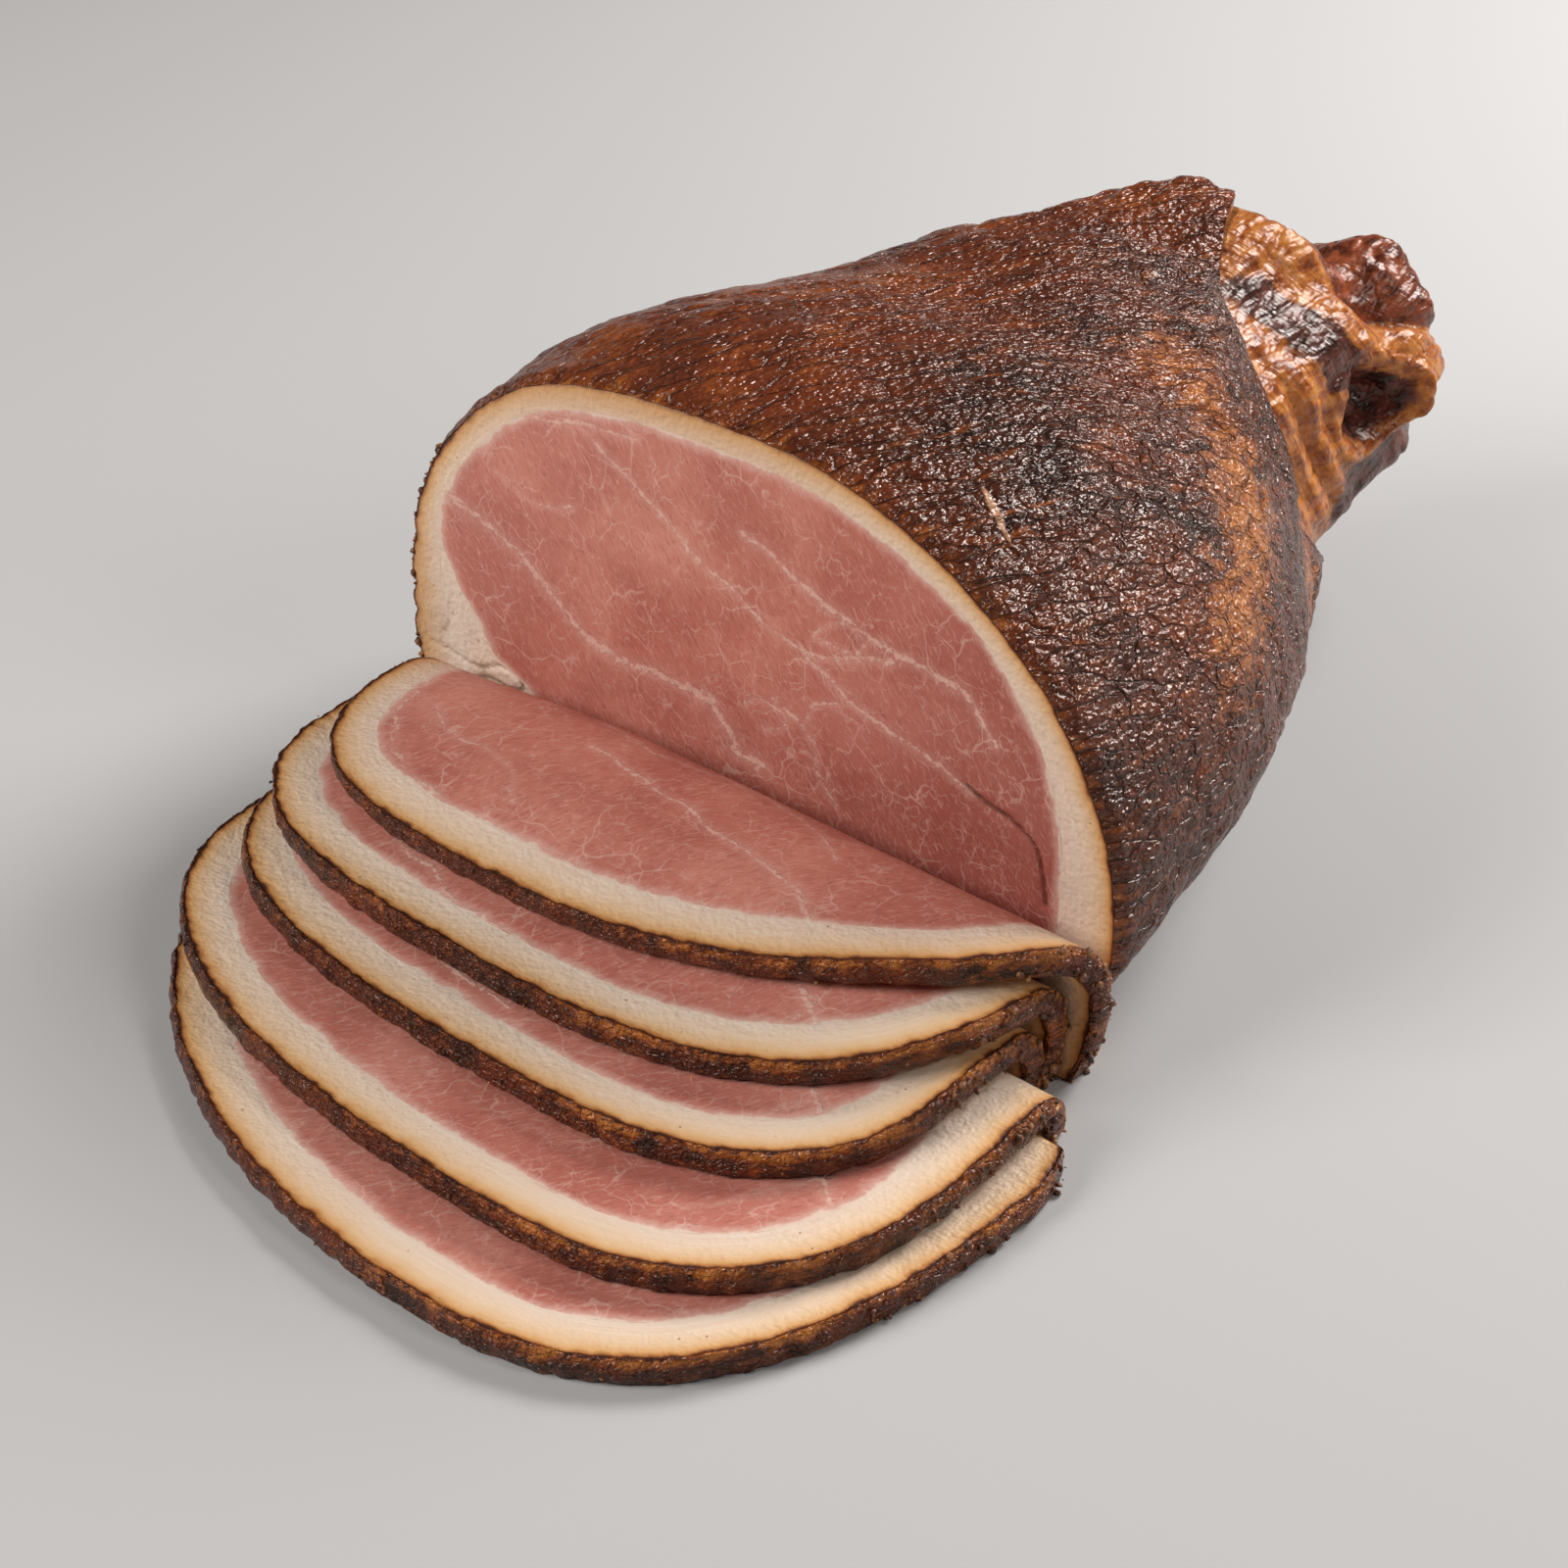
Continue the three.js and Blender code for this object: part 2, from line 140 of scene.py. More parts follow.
# %% [markdown]
# ## The form of the ham
# Each section is a squared circle with its own height above and depth below the
# widest level. An angle starts at the right side and turns over the top. Points
# that would sink below the table are flattened on to it, as real meat settles.

# %% The ham's outside
def section_numbers(y):
    """Numbers of the section at each distance y, joined smoothly between rows."""
    places = SECTIONS[:, 0]
    last = len(places) - 1
    low = np.clip(np.searchsorted(places, y) - 1, 0, last - 1)
    before = SECTIONS[np.maximum(low - 1, 0)]
    start = SECTIONS[low]
    end = SECTIONS[low + 1]
    after = SECTIONS[np.minimum(low + 2, last)]
    span = (end - start)[..., :1]
    t = np.clip((y[..., None] - start[..., :1]) / span, 0, 1)
    slope_in = (end - before) / (end - before)[..., :1]
    slope_out = (after - start) / (after - start)[..., :1]
    rise = end - start
    curve = t * t * (3 * rise - (2 * slope_in + slope_out) * span)
    return start + t * slope_in * span + curve + t ** 3 * ((slope_in + slope_out) * span - 2 * rise)


def squared(wave, square):
    return np.sign(wave) * np.abs(wave) ** (2 / square)


def turned(angle):
    """The same angle between -180 and 180 degrees, in degrees."""
    return (np.degrees(angle) + 180) % 360 - 180


def skin_end(angle):
    """Where the rind ends: it is cut back on the side that faces right."""
    side = turned(angle)
    return SKIN_LENGTH - 45 * hump(side, 35, 75) - 30 * hump(side, -20, 70)


def skin_relief(y, angle):
    folds = np.sin(5 * angle + y / 31) + 0.6 * np.sin(9 * angle - y / 19 + 1)
    dents = np.sin(y / 13 + 3 * angle) * np.sin(y / 23 - 4 * angle + 2)
    return (0.4 + 1.2 * ease(y, 90, SKIN_LENGTH)) * folds + 0.7 * dents


def hock_relief(y, angle):
    """Knots of tendon, the bony cap and the hollow beside it."""
    along = y - SKIN_LENGTH
    side = np.radians(turned(angle))
    cap = 3 * hump(along, 30, 15) * hump(side, 1.4, 1.1)
    waist = -3 * hump(along, 10, 14) * hump(side, 1.6, 1.6)
    hollow = -10 * hump(along, 30, 15) * hump(side, -0.3, 0.75)
    socket = -7 * hump(along, 3, 16) * hump(side, 0.05, 0.45)
    return cap + waist + hollow + socket


def unit(vectors):
    return vectors / np.maximum(np.linalg.norm(vectors, axis=-1, keepdims=True), 1e-9)


def surface_points(y, angle):
    """Points of the ham's outside, and the inner points that they look away from."""
    y, angle = np.broadcast_arrays(np.asarray(y, float), np.asarray(angle, float))
    row = section_numbers(y)
    left_square = 2.55 + 0.1 * ease(y, 0, 30) - 0.3 * ease(y, 50, 120)
    square = np.where(np.cos(angle) < 0, left_square, 2.2)
    square = square + (2 - square) * ease(y, 185, 225)
    sine = np.sin(angle)
    height = np.where(sine < 0, row[..., 5], row[..., 4]) * squared(sine, square)
    across = row[..., 2] * squared(np.cos(angle), square)
    points = np.stack([row[..., 1] + across - row[..., 6] * height, y, row[..., 3] + height], -1)
    middles = np.stack([row[..., 1], y, row[..., 3] + 12 * (1 - ease(y, 60, 130))], -1)
    relief = (skin_relief(y, angle) + hock_relief(y, angle)) * ease(points[..., 2], 2, 16)
    points = points + unit(points - middles) * relief[..., None]
    points[..., 2] = np.maximum(points[..., 2], 0)
    return points, middles


def skin_points(share, angle):
    """The rind, a share of the way from the cut to its end, both rims rounded."""
    end = skin_end(angle)
    y = share * end
    points, middles = surface_points(y, angle)
    rim = (1 - ease(y, 0, 5)) ** 2 + ease(y, end - 6, end)
    inward = unit(middles - points)
    return points + inward * (RIM_ROUNDING * rim * ease(points[..., 2], 2, 16))[..., None]


def fat_thickness(y, angle):
    """Thin over the top, broader down the right side, a wedge at the lower left."""
    side = turned(angle)
    right = 8.5 * hump(side, -5, 55)
    wedge = 31 * hump(side % 360, 194, 34)
    towards_hock = ease(y, 10, 140)
    return 8.6 + (right + wedge) * (1 - towards_hock) - 2.6 * towards_hock


def under_fat_points(y, angle, extra):
    points, middles = surface_points(y, angle)
    inward = middles - points
    reach = np.linalg.norm(inward, axis=-1) * 0.8
    depth = np.minimum(fat_thickness(y, angle) + extra, reach)
    return points + unit(inward) * depth[..., None]


# %% [markdown]
# ## Seating the measures on the frame
# The frame's origin is under the middle of the whole thing. The meat's solid
# starts at the cut face and the rind's solid has the ham's left side, so these
# two boxes say how far the ham's own measures have to move.

# %% From the ham's measures to the frame
rough_y, rough_angle = np.meshgrid(np.linspace(0, 150, 60), np.radians(np.arange(0, 360, 4)))
rough_outline = surface_points(rough_y, rough_angle)[0]
SHIFT = np.array([
    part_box("ham_fat")[0].x / MM - rough_outline[..., 0].min(),
    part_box("ham_lean")[0].y / MM,
    0.0,
])
print("shift of the ham's measures, mm:", np.round(SHIFT, 2).tolist())

# %% [markdown]
# ## A grid that becomes a body
# Every piece starts as Blender's flat grid, one row for each ring of the body.
# The rings are worked out by the formulas, the grid's points are moved on to
# them, and the edges that meet are merged, so that the body closes.

# %% Grid helper
MERGE_DISTANCE = 2e-6
SMOOTH_ANGLE = math.radians(55)
# the fact of a point that is nowhere near a line, in mm
FAR = 50.0


def grid_body(name, rings, facts):
    """A closed mesh through rings of points in mm. Facts are named numbers for each
    point, which the finishes read."""
    rows, columns = rings.shape[:2]
    bpy.ops.object.select_all(action="DESELECT")
    bpy.ops.mesh.primitive_grid_add(x_subdivisions=columns - 1, y_subdivisions=rows - 1, size=1)
    piece = bpy.context.object
    piece.name = name
    piece.data.name = name
    flat = np.zeros(len(piece.data.vertices) * 3)
    piece.data.vertices.foreach_get("co", flat)
    flat = flat.reshape(-1, 3)
    column = np.rint((flat[:, 0] + 0.5) * (columns - 1)).astype(int)
    row = np.rint((flat[:, 1] + 0.5) * (rows - 1)).astype(int)
    placed = (rings[row, column] + SHIFT) * MM
    piece.data.vertices.foreach_set("co", placed.ravel())
    for fact, values in facts.items():
        attribute = piece.data.attributes.new(fact, "FLOAT", "POINT")
        attribute.data.foreach_set("value", values[row, column].astype(np.float32))
    bpy.ops.object.mode_set(mode="EDIT")
    bpy.ops.mesh.select_all(action="SELECT")
    bpy.ops.mesh.remove_doubles(threshold=MERGE_DISTANCE)
    bpy.ops.mesh.normals_make_consistent(inside=False)
    bpy.ops.object.mode_set(mode="OBJECT")
    bpy.ops.object.shade_smooth_by_angle(angle=SMOOTH_ANGLE)
    print(name, "faces:", len(piece.data.polygons))
    return piece


def blend_rings(first, second, shares):
    """Rings between two rings, at the given shares of the way."""
    shares = np.asarray(shares)[:, None, None]
    return first[None] * (1 - shares) + second[None] * shares


# %% [markdown]
# ## Rind and fat of the ham
# The rind is leather-like: long folds gather towards the hock, and fine creases
# cross each other everywhere. It could be sculpted by hand, but creases that come
# from noise are even over the whole ham and need no map. The body is one tube:
# along the rind, over its end, back inside, and across the fat of the cut face.

# %% Rind and fat of the ham
AROUND_SKIN = 330
ALONG_SKIN = 240
NICK_START = (22, 64)
NICK_END = (15, 55)
NICK_RADIUS = 95
HOCK_WALL_DEPTH = 1.3
LINING_DEPTH = 6
RIM_LENGTH = 560
angles = np.radians(np.linspace(-90, 270, AROUND_SKIN + 1))


def leather(points, share):
    """Height of the rind's folds and creases, in mm, above its plain form."""
    to_hock = ease(share, 0.35, 1.0)
    long_folds = 0.9 * creases(points, (24, 60, 24), 0.10, 1) * (0.35 + 1.1 * to_hock)
    crossing = 0.42 * creases(points, (12, 20, 12), 0.10, 2) + 0.34 * creases(points, (8, 11, 8), 0.12, 3)
    grain = 0.26 * soft_noise(points, (2.6, 3.8, 2.6), 4)
    swell = 0.7 * soft_noise(points, 14, 5)
    return long_folds + crossing + grain + swell


def nick_distance(y, side):
    """Distance in mm from the short cut in the rind, as if the section were round."""
    around = np.radians(1) * NICK_RADIUS
    start = np.array([NICK_START[0], NICK_START[1] * around])
    course = np.array([NICK_END[0], NICK_END[1] * around]) - start
    place = np.stack(np.broadcast_arrays(y, side * around), -1) - start
    share = np.clip(place @ course / (course @ course), 0, 1)
    gap = np.linalg.norm(place - share[..., None] * course, axis=-1)
    return gap + 0.9 * (2 * share - 1) ** 2


def crumbly(points, seed):
    return 0.55 * soft_noise(points, 4.5, seed) + 0.45 * soft_noise(points, 1.9, seed + 1)


shares = np.linspace(0, 1, ALONG_SKIN) ** 1.02
rind = skin_points(shares[:, None], angles[None, :])
rind_y = shares[:, None] * skin_end(angles)[None, :]
outward = unit(rind - surface_points(rind_y, angles[None, :])[1])
off_table = ease(rind[..., 2], 1, 12)
near_cut = 1 - ease(rind_y, 0, 7)
left_edge = hump(np.degrees(angles)[None, :], 178, 36)
lift = leather(rind, shares[:, None]) * (1 - 0.6 * near_cut)
lift = lift + near_cut * crumbly(rind, 8) * (0.45 + 2.1 * left_edge)
nick = nick_distance(rind_y, np.degrees(angles)[None, :])
lift = lift - 0.35 * hump(nick, 1.8, 1.2) + 0.45 * hump(nick, 0, 1.3)
rind = rind + outward * (lift * off_table)[..., None]

inner_end = under_fat_points(0.995 * skin_end(angles), angles, 0)
hock_wall = blend_rings(rind[-1], inner_end, np.linspace(0, 1, 8)[1:])
inner_shares = np.linspace(0.9, 0.04, 7)
lining = under_fat_points(inner_shares[:, None] * skin_end(angles)[None, :], angles[None, :], 0)
FAT_RINGS = 34
fat_shares = np.linspace(0, 1, FAT_RINGS)
cut_fat = blend_rings(under_fat_points(0, angles, 0), rind[0], fat_shares)
thickness = fat_thickness(0, angles)
cut_depth = (1 - fat_shares)[:, None] * thickness[None, :]
fissures = creases(cut_fat, (16, 30, 7), 0.09, 11) * ease(cut_depth, 1, 5)
fissures = fissures * hump(np.degrees(angles)[None, :], 190, 30)
cut_fat[..., 1] -= (0.16 * soft_noise(cut_fat, 6, 9) + 0.9 * fissures) * ease(cut_depth, 0, 2)

rings = np.concatenate([rind, hock_wall, lining, cut_fat])
ones = np.ones((1, len(angles)))
depth = np.concatenate([
    0 * rind_y,
    np.linspace(0, HOCK_WALL_DEPTH, len(hock_wall))[:, None] * ones,
    LINING_DEPTH * ones.repeat(len(lining), 0),
    cut_depth,
])


def amber_share(y, side):
    """Where the stretched rind is thin and golden."""
    upper = 0.8 * hump(y, 114, 24) * hump(side, 54, 22)
    middle = hump(y, 95, 32) * hump(side, 31, 22)
    lower = 0.9 * hump(y, 66, 28) * hump(side, 22, 18)
    right = 0.8 * hump(y, 140, 34) * hump(side, -12, 24)
    rim = 0.35 * (1 - ease(y, 0, 5))
    return np.clip(upper + middle + lower + right + rim, 0, 1)


def red_share(y, side):
    """The smoke is a clear red over the top and the left, and in spots on the right."""
    top = ease(side, 70, 94) * (1 - 0.5 * ease(side, 130, 180))
    spots = hump(y, 60, 20) * hump(side, 59, 14) + hump(y, 46, 22) * hump(side, 30, 18)
    neck = 0.7 * hump(y, 170, 26) * hump(side, 62, 26)
    return np.clip(top + 0.7 * spots + neck, 0, 1)


def dark_share(y, side, share):
    """Nearly black where the rind is thick, and along its end on the right."""
    broad = 0.6 * hump(y, 48, 46) * hump(side, 66, 24) + 0.5 * hump(y, 26, 24) * hump(side, 40, 22)
    streak = hump(y + 0.9 * (side - 38), 70, 11) * hump(side, 38, 18)
    end = 0.9 * hump(share, 0.96, 0.08) * hump(side, 22, 60)
    return np.clip(broad + streak + end, 0, 1)


around_rind = np.degrees(angles)[None, :]
amber = amber_share(rind_y, around_rind)
red = red_share(rind_y, around_rind)
dark = dark_share(rind_y, around_rind, shares[:, None])
off_rind = np.zeros((len(rings) - len(rind), len(angles)))
smoked_fat = 0.8 * hump(around_rind, 190, 42) + 0.7 * hump(around_rind, 105, 50)
ham_rind = grid_body("ham_rind_and_fat", rings, {
    "depth": depth,
    "along": np.broadcast_to(np.linspace(0, RIM_LENGTH, len(angles)), depth.shape),
    "fissure": np.concatenate([0 * depth[: -FAT_RINGS], -fissures]),
    "amber": np.concatenate([amber, off_rind[: -FAT_RINGS], smoked_fat.repeat(FAT_RINGS, 0)]),
    "red": np.concatenate([red, off_rind]),
    "dark": np.concatenate([dark, off_rind]),
    "nick": np.concatenate([nick, FAR + off_rind]),
})

# %% [markdown]
# ## The meat of the ham
# The cut face shows several muscles, each wrapped in a thin pale seam, and a ring
# of gristle. The seams are curves on the face; each point of the mesh stores how
# far it is from the nearest one, and the finish turns that into pale lines. At
# the other end the bare hock has tendons, a bony cap and a hollow beside it; the
# hollow is painted dark, partly as shade, and the underside is painted shade.

# %% Seams of the cut face, as points across and up it, with a width
SEAMS = [
    ([(-96, 84), (-90, 72), (-71, 65), (-56, 56), (-45, 49), (-31, 48), (-8, 49)], 1.1),
    ([(-46, 104), (-22, 91), (-13, 84), (1, 78), (19, 72), (30, 74), (44, 80)], 0.7),
    ([(2, 95), (16, 91), (30, 84), (44, 82), (52, 82), (62, 79), (72, 70)], 0.9),
    ([(20, 70), (30, 66), (45, 62), (59, 59), (66, 56)], 0.8),
    ([(10, 57), (17, 54), (20, 51), (22, 46), (25, 40), (29, 36)], 0.6),
    ([(20, 54), (23, 59), (29, 63)], 0.5),
    ([(-98, 74), (-88, 88), (-74, 98), (-55, 104), (-30, 107)], 0.7),
    ([(2, 52), (8, 55), (14, 54), (13, 50), (7, 48)], 0.5),
    ([(-15, 49), (-9, 47), (-3, 43), (-1, 38), (7, 38)], 1.4),
    ([(22, 77), (28, 82), (36, 81), (33, 76), (22, 77)], 0.5),
    ([(-76, 84), (-62, 80), (-50, 83)], 0.45),
]
OPEN_CREASE = [([(65, 57), (73, 54), (80, 52), (84, 49), (86, 43), (87, 36)], 1.0)]


def smooth_course(points, spacing=0.8):
    """A smooth line through points, sampled closely."""
    points = np.array(points, float)
    padded = np.concatenate([points[:1], points, points[-1:]])
    course = []
    for before, start, end, after in zip(padded, padded[1:], padded[2:], padded[3:]):
        steps = max(int(np.linalg.norm(end - start) / spacing), 2)
        t = (np.arange(steps) / steps)[:, None]
        rise = end - start
        slope_in, slope_out = (end - before) / 2, (after - start) / 2
        course.append(start + t * slope_in + t ** 2 * (3 * rise - 2 * slope_in - slope_out)
                      + t ** 3 * (slope_in + slope_out - 2 * rise))
    return np.concatenate(course + [points[-1:]])


def seam_distance(places, seams, wobble):
    """Distance of places to the nearest seam, in widths of that seam."""
    flat = np.column_stack([places.reshape(-1, 2), np.zeros(places[..., 0].size)])
    moved = flat[:, :2] + wobble * np.column_stack([soft_noise(flat, 9, 21), soft_noise(flat, 9, 22)])
    best = np.full(len(flat), 99.0)
    for points, width in seams:
        course = smooth_course(points)
        near = np.linalg.norm(course.mean(0) - moved, axis=1) < 90
        gaps = np.linalg.norm(moved[near][:, None, :] - course[None, :, :], axis=2).min(1)
        best[near] = np.minimum(best[near], gaps / width)
    return best.reshape(places.shape[:-1])


# %% Meat of the ham
AROUND_MEAT = 400
FACE_RINGS = 120
HOCK_RINGS = 96
angles = np.radians(np.linspace(-90, 270, AROUND_MEAT + 1))
face_centre = np.array([0.0, 0.0, 60.0])
rim = under_fat_points(0, angles, -0.05)
face = blend_rings(np.broadcast_to(face_centre, rim.shape), rim, np.linspace(0, 1, FACE_RINGS))
face_seams = seam_distance(face[..., [0, 2]], SEAMS, 1.6)
inside_rim = 1 - ease(np.linspace(0, 1, FACE_RINGS), 0.97, 1)[:, None]
seam_groove = np.exp(-(face_seams / 1.1) ** 2)
crease_gap = seam_distance(face[..., [0, 2]], OPEN_CREASE, 0.8)
crease_groove = np.exp(-(crease_gap / 0.9) ** 2)
unevenness = 0.22 * soft_noise(face, 12, 31) + 0.12 * soft_noise(face, 3.5, 32)
face[..., 1] -= inside_rim * (unevenness - 0.18 * seam_groove - 0.8 * crease_groove)

inner_shares = np.linspace(0.06, 0.995, 9)
core = under_fat_points(inner_shares[:, None] * skin_end(angles)[None, :], angles[None, :], CLEARANCE)
hock_shares = np.linspace(0.012, 1, HOCK_RINGS)
hock_start = skin_end(angles)[None, :]
hock_y = hock_start + hock_shares[:, None] * (HAM_LENGTH - hock_start)
hock = under_fat_points(hock_y, angles[None, :], CLEARANCE)
hock_middle = surface_points(hock_y, angles[None, :])[1]
hock_side = turned(angles)[None, :]
tendons = 0.8 * creases(hock, (9, 30, 9), 0.14, 41) + 0.45 * creases(hock, (5, 12, 5), 0.16, 42)
flesh = 0.35 * soft_noise(hock, 4, 43) + 0.9 * soft_noise(hock, 11, 44)
strand = hock_y + 0.37 * hock_side
on_right = hump(hock_side, 0, 58)
cords = 2.4 * hump(strand, 168, 8) + 2.0 * hump(strand, 180, 5.5) - 1.2 * hump(strand, 174.8, 2.6)
cap_edge = hock_side + 0.7 * (hock_y - 211) - 46
cap_crease = -2.4 * np.exp(-(cap_edge / 5) ** 2) * ease(hock_y, 196, 208)
cap_swell = 1.6 * ease(cap_edge, 0, 14) * ease(hock_y, 200, 212) * hump(hock_side, 70, 60)
pit_noise = 3.5 * soft_noise(hock, 7, 46)
pit = np.hypot((hock_y - 204 + pit_noise) / 14, (hock_side - 3 - pit_noise) / 17)
pit_lobes = 1 + 0.45 * soft_noise(hock, 5, 47)
cavity = -5.5 * (1 - ease(pit, 0.45, 1.05)) * pit_lobes + 1.1 * hump(pit, 1.2, 0.3)
lip = 2.0 * hump(hock_y, 226, 11) * hump(hock_side, -36, 14)
hock_lift = (tendons + flesh) * ease(hock_shares, 0, 0.12)[:, None]
hock_lift = hock_lift + cords * on_right * ease(hock_shares, 0.02, 0.2)[:, None]
hock_lift = hock_lift + cap_crease + cap_swell + cavity + lip
hock = hock + unit(hock - hock_middle) * hock_lift[..., None]
back_centre = np.array([12.0, HAM_LENGTH - 3, 56.0])
tip = blend_rings(hock[-1], np.broadcast_to(back_centre, rim.shape), np.linspace(0, 1, 16)[1:])
tip[..., 1] += 0.5 * soft_noise(tip, 5, 45) * np.linspace(1, 0.2, 15)[:, None]

rings = np.concatenate([face, core, hock, tip])


def on_face(values, beyond):
    """A fact of the face's rings, with one value on all the others."""
    return np.concatenate([values, np.full((len(rings) - len(face), len(angles)), beyond)])


def on_hock(values):
    """A fact of the hock's rings, carried on over its tip and 0 elsewhere."""
    before = np.zeros((len(face) + len(core), len(angles)))
    return np.concatenate([before, values, np.repeat(values[-1:], len(tip), 0)])


dark_meat_and_shade = hump(strand, 197, 15) * ease(hock_side, 8, 16) * (1 - ease(hock_side, 54, 66))
# Painted shade: the hock's underside, from its bottom round to its lower right, gets the dried meat's dark
# colour.
shaded_underside = (1 - ease(hock_side, -30, -14)) * ease(hock_y, 184, 194) * ease(hock_side, -100, -80)
cap_share = ease(cap_edge, -2, 5) * ease(hock_y, 198, 208) * (1 - ease(hock_side, 125, 150))
# Nearly black in the hollow beside the cap: partly the dried meat's own dark colour and partly painted
# shade in the hollow.
pit_share = 1 - ease(pit, 0.7, 1.1)
# Darker towards the right and the bottom of the cut face: partly the darker muscles there and partly
# painted shade low on the face, above the slices.
face_tone_and_shade = ease(face[..., 0] + 0.6 * (80 - face[..., 2]), 0, 100)
face_radius = np.linalg.norm(rim - face_centre, axis=1)
rim_gap = (1 - np.linspace(0, 1, FACE_RINGS))[:, None] * face_radius[None, :]
ham_meat = grid_body("ham_meat", rings, {
    "seam": on_face(face_seams, FAR),
    "rim": on_face(rim_gap, FAR),
    "crease": on_face(crease_gap, FAR),
    "bare": on_face(0 * face_seams, 1),
    "shade_and_tone": on_face(face_tone_and_shade, 0),
    "dark_meat_and_shade": on_hock(np.maximum(dark_meat_and_shade, shaded_underside)),
    "cap": on_hock(cap_share),
    "pit": on_hock(pit_share),
    "strand": on_hock(strand),
    "side": turned(angles)[None, :] * np.ones((len(rings), 1)),
})

# %% [markdown]
# ## The slices
# Each slice is cut to its outline as a flat sheet, and the sheet is then laid
# along a course: up from its foot at the cut face, over a crest, and down towards
# the front. Meat and fat follow the same course, so that they fit each other.

# %% Course and outline of a slice
COURSE_POINTS = 90


def near_crest(reach):
    """1 as far as the crest, 0 where the slices lie flat on each other."""
    return 1 - ease(reach, CREST_REACH + 4, CREST_REACH + 46)


def middle_height(k, lift):
    """Height of the middle of slice k, where each slice adds a lift to its pitch."""
    return SLICE_THICKNESS / 2 + k * (SLICE_PITCH + lift)


def length_along(line):
    """Length of a line from its start to each of its points."""
    return np.concatenate([[0], np.cumsum(np.linalg.norm(np.diff(line, axis=0), axis=1))])


def slice_course(k):
    """Reach and height of points along the slice's middle, from its foot."""
    start = CREST_REACH if k > 0 else LOWEST_SLICE_HEEL
    reach = np.linspace(start, SLICES[k]["front"], COURSE_POINTS)
    flat = np.stack([reach, middle_height(k, CREST_LIFT * near_crest(reach))], -1)
    if k == 0:
        return flat
    bend = FIRST_BEND + k * SLICE_PITCH
    top = middle_height(k, CREST_LIFT)
    angle = np.linspace(0, np.pi / 2, COURSE_POINTS)[:-1]
    square = 1.9 + 0.5 * k
    back = bend * squared(np.cos(angle), square)
    return np.concatenate([np.stack([CREST_REACH - back, top * squared(np.sin(angle), square)], -1), flat])


def slice_outline(cut, total, count):
    """Points across and along the flat sheet, once round from the foot's middle."""
    halves = []
    for side, sign in (("right", 1), ("left", -1)):
        spread, square = cut[side], cut["square_" + side]
        low = np.linspace(0, cut["widest"], 20)
        low_half = spread * (1 - 0.05 * (1 - low / cut["widest"]) ** 2)
        angle = np.linspace(0, np.pi / 2, 400)
        along = cut["widest"] + (total - cut["widest"]) * squared(np.sin(angle), square)
        half = spread * squared(np.cos(angle), square)
        half = np.concatenate([low_half, half[1:]])
        halves.append(np.stack([cut["apex"] + sign * half, np.concatenate([low, along[1:]])], -1))
    foot = np.array([[cut["apex"], 0.0]])
    loop = np.concatenate([foot, halves[0], halves[1][::-1], foot])
    length = length_along(loop)
    wanted = np.linspace(0, length[-1], count + 1)
    return np.stack([np.interp(wanted, length, loop[:, i]) for i in (0, 1)], -1), wanted


def inward_normals(outline, apex):
    """Directions into the sheet: straight across near the foot, so that they never
    cross at its corners, and square to the outline further out."""
    ring = outline[:-1]
    along = np.roll(ring, -1, 0) - np.roll(ring, 1, 0)
    inward = unit(np.stack([-along[:, 1], along[:, 0]], -1))
    across = np.stack([-np.sign(ring[:, 0] - apex), 0 * ring[:, 0]], -1)
    share = ease(ring[:, 1], 2, 20)[:, None]
    inward = unit(across * (1 - share) + inward * share)
    return np.concatenate([inward, inward[:1]])


def under_slice_fat(outline, inward, thickness):
    """The outline of the meat: the slice's outline moved in by the fat's thickness,
    and by a thin layer along the foot."""
    inner = outline + inward * thickness[:, None]
    foot = outline[:, 1] < 0.3
    low, high = outline[foot, 0].min(), outline[foot, 0].max()
    inner[foot, 0] = np.clip(outline[foot, 0], low + FOOT_FAT, high - SLICE_FAT - BROADER_RIGHT)
    inner[:, 1] = np.maximum(inner[:, 1], FOOT_FAT)
    return inner


def slice_placer(k):
    """A function that lays points of the flat sheet along the slice's course."""
    course = slice_course(k)
    length = length_along(course)
    crest_top = middle_height(k, CREST_LIFT)

    def at(distance):
        distance = np.clip(distance, 0, length[-1])
        return np.stack([np.interp(distance, length, course[:, i]) for i in (0, 1)], -1)

    def place(points, level):
        """Level is 1 on the upper side of the sheet and -1 on its lower side."""
        spot = at(points[..., 1])
        tangent = unit(at(points[..., 1] + 1.5) - at(points[..., 1] - 1.5))
        normal = np.stack([-tangent[..., 1], tangent[..., 0]], -1)
        laid = spot + normal * (np.asarray(level) * SLICE_THICKNESS / 2)[..., None]
        sag = 0.7 * ease(-points[..., 0], 15, 95) * near_crest(spot[..., 0])
        height = laid[..., 1] * (1 - sag * k * CREST_LIFT / crest_top)
        return np.stack([points[..., 0], -laid[..., 0], np.maximum(height, 0.05)], -1)

    return place, length[-1]


# %% [markdown]
# Each slice's seams repeat the face's muscles, because it was cut from the same
# place: what was the top of the ham is now the slice's front edge.

# %% Make the slices
ROUND_SLICE = 560
SLICE_SEAMS = [
    ([(-20, 52), (0, 56), (15, 58), (35, 62), (55, 68), (67, 76), (88, 84)], 0.8),
    ([(45, 96), (54, 84), (60, 66)], 0.5),
    ([(-77, 46), (-72, 62), (-57, 78), (-36, 86), (-10, 90)], 0.7),
    ([(-66, 58), (-52, 66), (-36, 68), (-20, 78)], 0.5),
    ([(-30, 40), (-5, 44), (20, 40), (50, 50)], 0.45),
]


